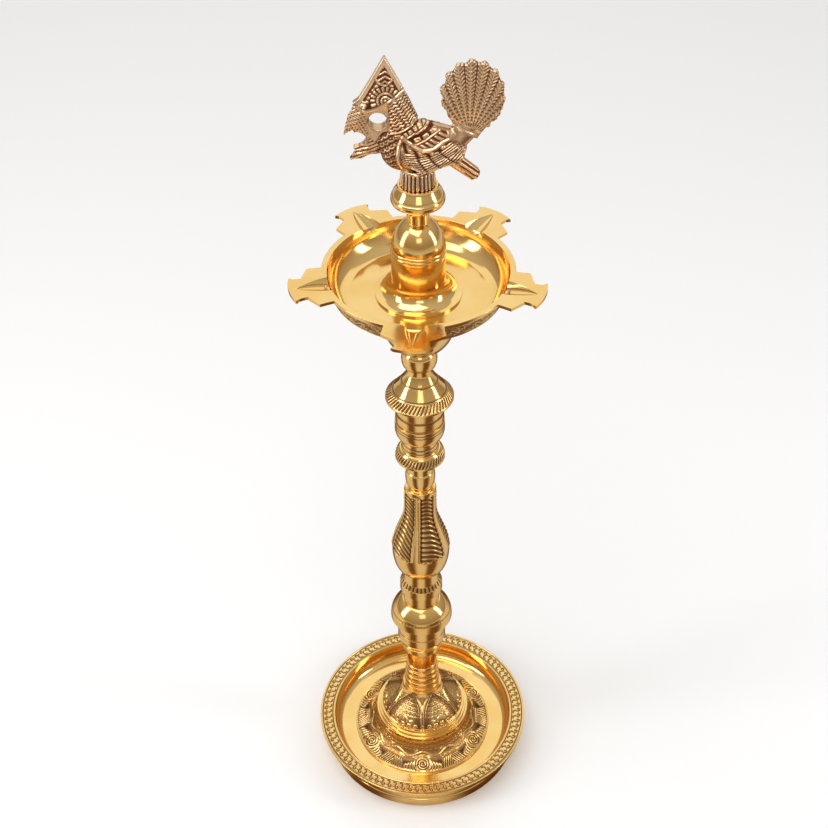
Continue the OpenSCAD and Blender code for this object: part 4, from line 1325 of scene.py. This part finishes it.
# %% Bird
def bird_pattern(places):
    u = places[:, 0]
    v = places[:, 2] - BIRD_SEAT
    raised = np.zeros(u.shape)
    zone = np.zeros(u.shape)

    def lay(relief, mask):
        raised[:] = np.where(mask > 0.02, np.maximum(raised * (1 - mask), relief), raised)
        zone[:] = np.maximum(zone, mask)

    neck = inside(u, v, NECK)
    along, aside = run_of(u, v, BAND)
    lay(neck * ridges((aside + 0.35 * np.sin(along * 2.2)) / 1.65) * (0.6 + 0.4 * ridges(along / 2.85)), neck)
    breast = inside(u, v, BREAST)
    lay(breast * scales(u * 0.8 + v * 0.6, v * 0.8 - u * 0.6, 2.7), breast)
    beak = inside(u, v, BEAK)
    hatch = np.maximum(ridges((u + 0.55 * v) / 1.9), 0.7 * ridges((v - 0.5 * u) / 1.9))
    lay(beak * hatch, beak)
    wattle = inside(u, v, WATTLE)
    lay(wattle * ridges((v - 0.42 * u) / 1.9), wattle)
    stub = inside(u, v, STUB)
    lay(stub * ridges((u * 0.64 + v * 0.77) / 2.1), stub)
    lay(*fan_relief(u, v))
    lay(*crest_relief(u, v))
    lay(*wing_relief(u, v))
    for upper, lower, pitch in ((UPPER_COLLAR, MIDDLE_COLLAR, 2.6), (MIDDLE_COLLAR, LOWER_COLLAR, 4.6)):
        ring = inside(u, v, list(upper) + list(lower)[::-1], 0.3)
        along, aside = run_of(u, v, lower)
        share = np.abs(along / pitch - np.round(along / pitch)) * pitch
        bead = within(share, -1, 0.34 * pitch, 0.25) * within(aside, 0.8, 2.7, 0.3)
        lay(ring * bead * (1 - 0.6 * line(np.hypot(share, aside - 1.75), 0.5)), ring)
    back = inside(u, v, BACK, 0.3)
    lay(back * ridges((u * 0.5 + v) / 2.4) * 0.8, back)
    for points, width in ((UPPER_COLLAR, 0.4), (MIDDLE_COLLAR, 0.4), (LOWER_COLLAR, 0.45), (WING_FRONT, 0.8),
                          (WING_TOP, 0.85), (BAND, 0.75)):
        off = stroke(u, v, points)
        bar = line(off, width)
        raised[:] = np.maximum(raised * rise(off, width + 0.2, width + 0.7), bar * 1.15)
        zone[:] = np.maximum(zone, bar)
    tail_band = line(np.abs((v - 34.2) + 0.55 * (u - 22.6)) - 1.5, 0.5) * within(u, 15.5, 31.5, 0.5)
    tail_band *= rise(v, 28, 30)
    raised[:] = np.maximum(raised, tail_band)
    zone[:] = np.maximum(zone, tail_band)
    foot = rise(v, 0.6, 1.4) * (1 - rise(v, 9.6, 10.8)) * (np.abs(u) < 10)
    flutes = ridges(about(places, FOOT_FLUTES) * FOOT_FLUTES / (2 * math.pi))
    lay(foot * flutes, foot)
    lift = zone * (0.72 * raised - 0.36) * np.maximum(rise(flank, 0.25, 0.7), foot)
    dark = zone * np.clip(0.98 - 1.2 * raised, 0, 1) + (1 - zone) * 0.42
    return lift * (reach_of(places) > 3.2), dark


finish_piece("bird", bird, "bird", antique, "bird_finial", bird_pattern, 180)

# %% [markdown]
# ## The studs
# Each section is held by a short threaded stud in the joint below it. A thread is a V-shaped tooth that
# climbs one pitch in each turn, so one tooth is spun with a rise, cut off square at both ends and
# closed. A stack of plain rings would be simpler, but wouldn't look like a thread when it turns. The
# studs only show when a section is unscrewed.

# %% Threaded studs
PITCH = 1.5
STEPS_A_TURN = 36
TOOTH_DEPTH = 0.75
TOOTH_TOP = (0.62, 0.88)


def threaded_stud(lo, hi):
    """A threaded rod that fills the box of a stud."""
    outer = (hi.x - lo.x) / 2 / MM
    root = outer - TOOTH_DEPTH
    low = lo.z / MM
    turns = math.ceil((hi.z - lo.z) / MM / PITCH) + 2
    shape = bmesh.new()
    tooth = ((root, 0.0), (outer, TOOTH_TOP[0]), (outer, TOOTH_TOP[1]), (root, PITCH))
    ring = [shape.verts.new((r * MM, 0, (low - PITCH + up) * MM)) for r, up in tooth]
    edges = [shape.edges.new(pair) for pair in zip(ring, ring[1:])]
    rise_a_step = Vector((0, 0, PITCH * MM / STEPS_A_TURN))
    bmesh.ops.spin(shape, geom=ring + edges, cent=(0, 0, 0), axis=(0, 0, 1), dvec=rise_a_step,
                   angle=2 * math.pi * turns, steps=STEPS_A_TURN * turns, use_duplicate=False)
    bmesh.ops.remove_doubles(shape, verts=shape.verts, dist=1e-6)
    kept_part(shape, lo / MM, (0, 0, -1))
    kept_part(shape, hi / MM, (0, 0, 1))
    bmesh.ops.recalc_face_normals(shape, faces=shape.faces)
    return shape


for node in sorted(nodes):
    if node.endswith("_stud"):
        stud = threaded_stud(*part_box(node))
        open_edges = sum(len(edge.link_faces) != 2 for edge in stud.edges)
        finish_piece(node + "_thread", stud, node, thread, node, None, 30)
        print("  open edges", open_edges)
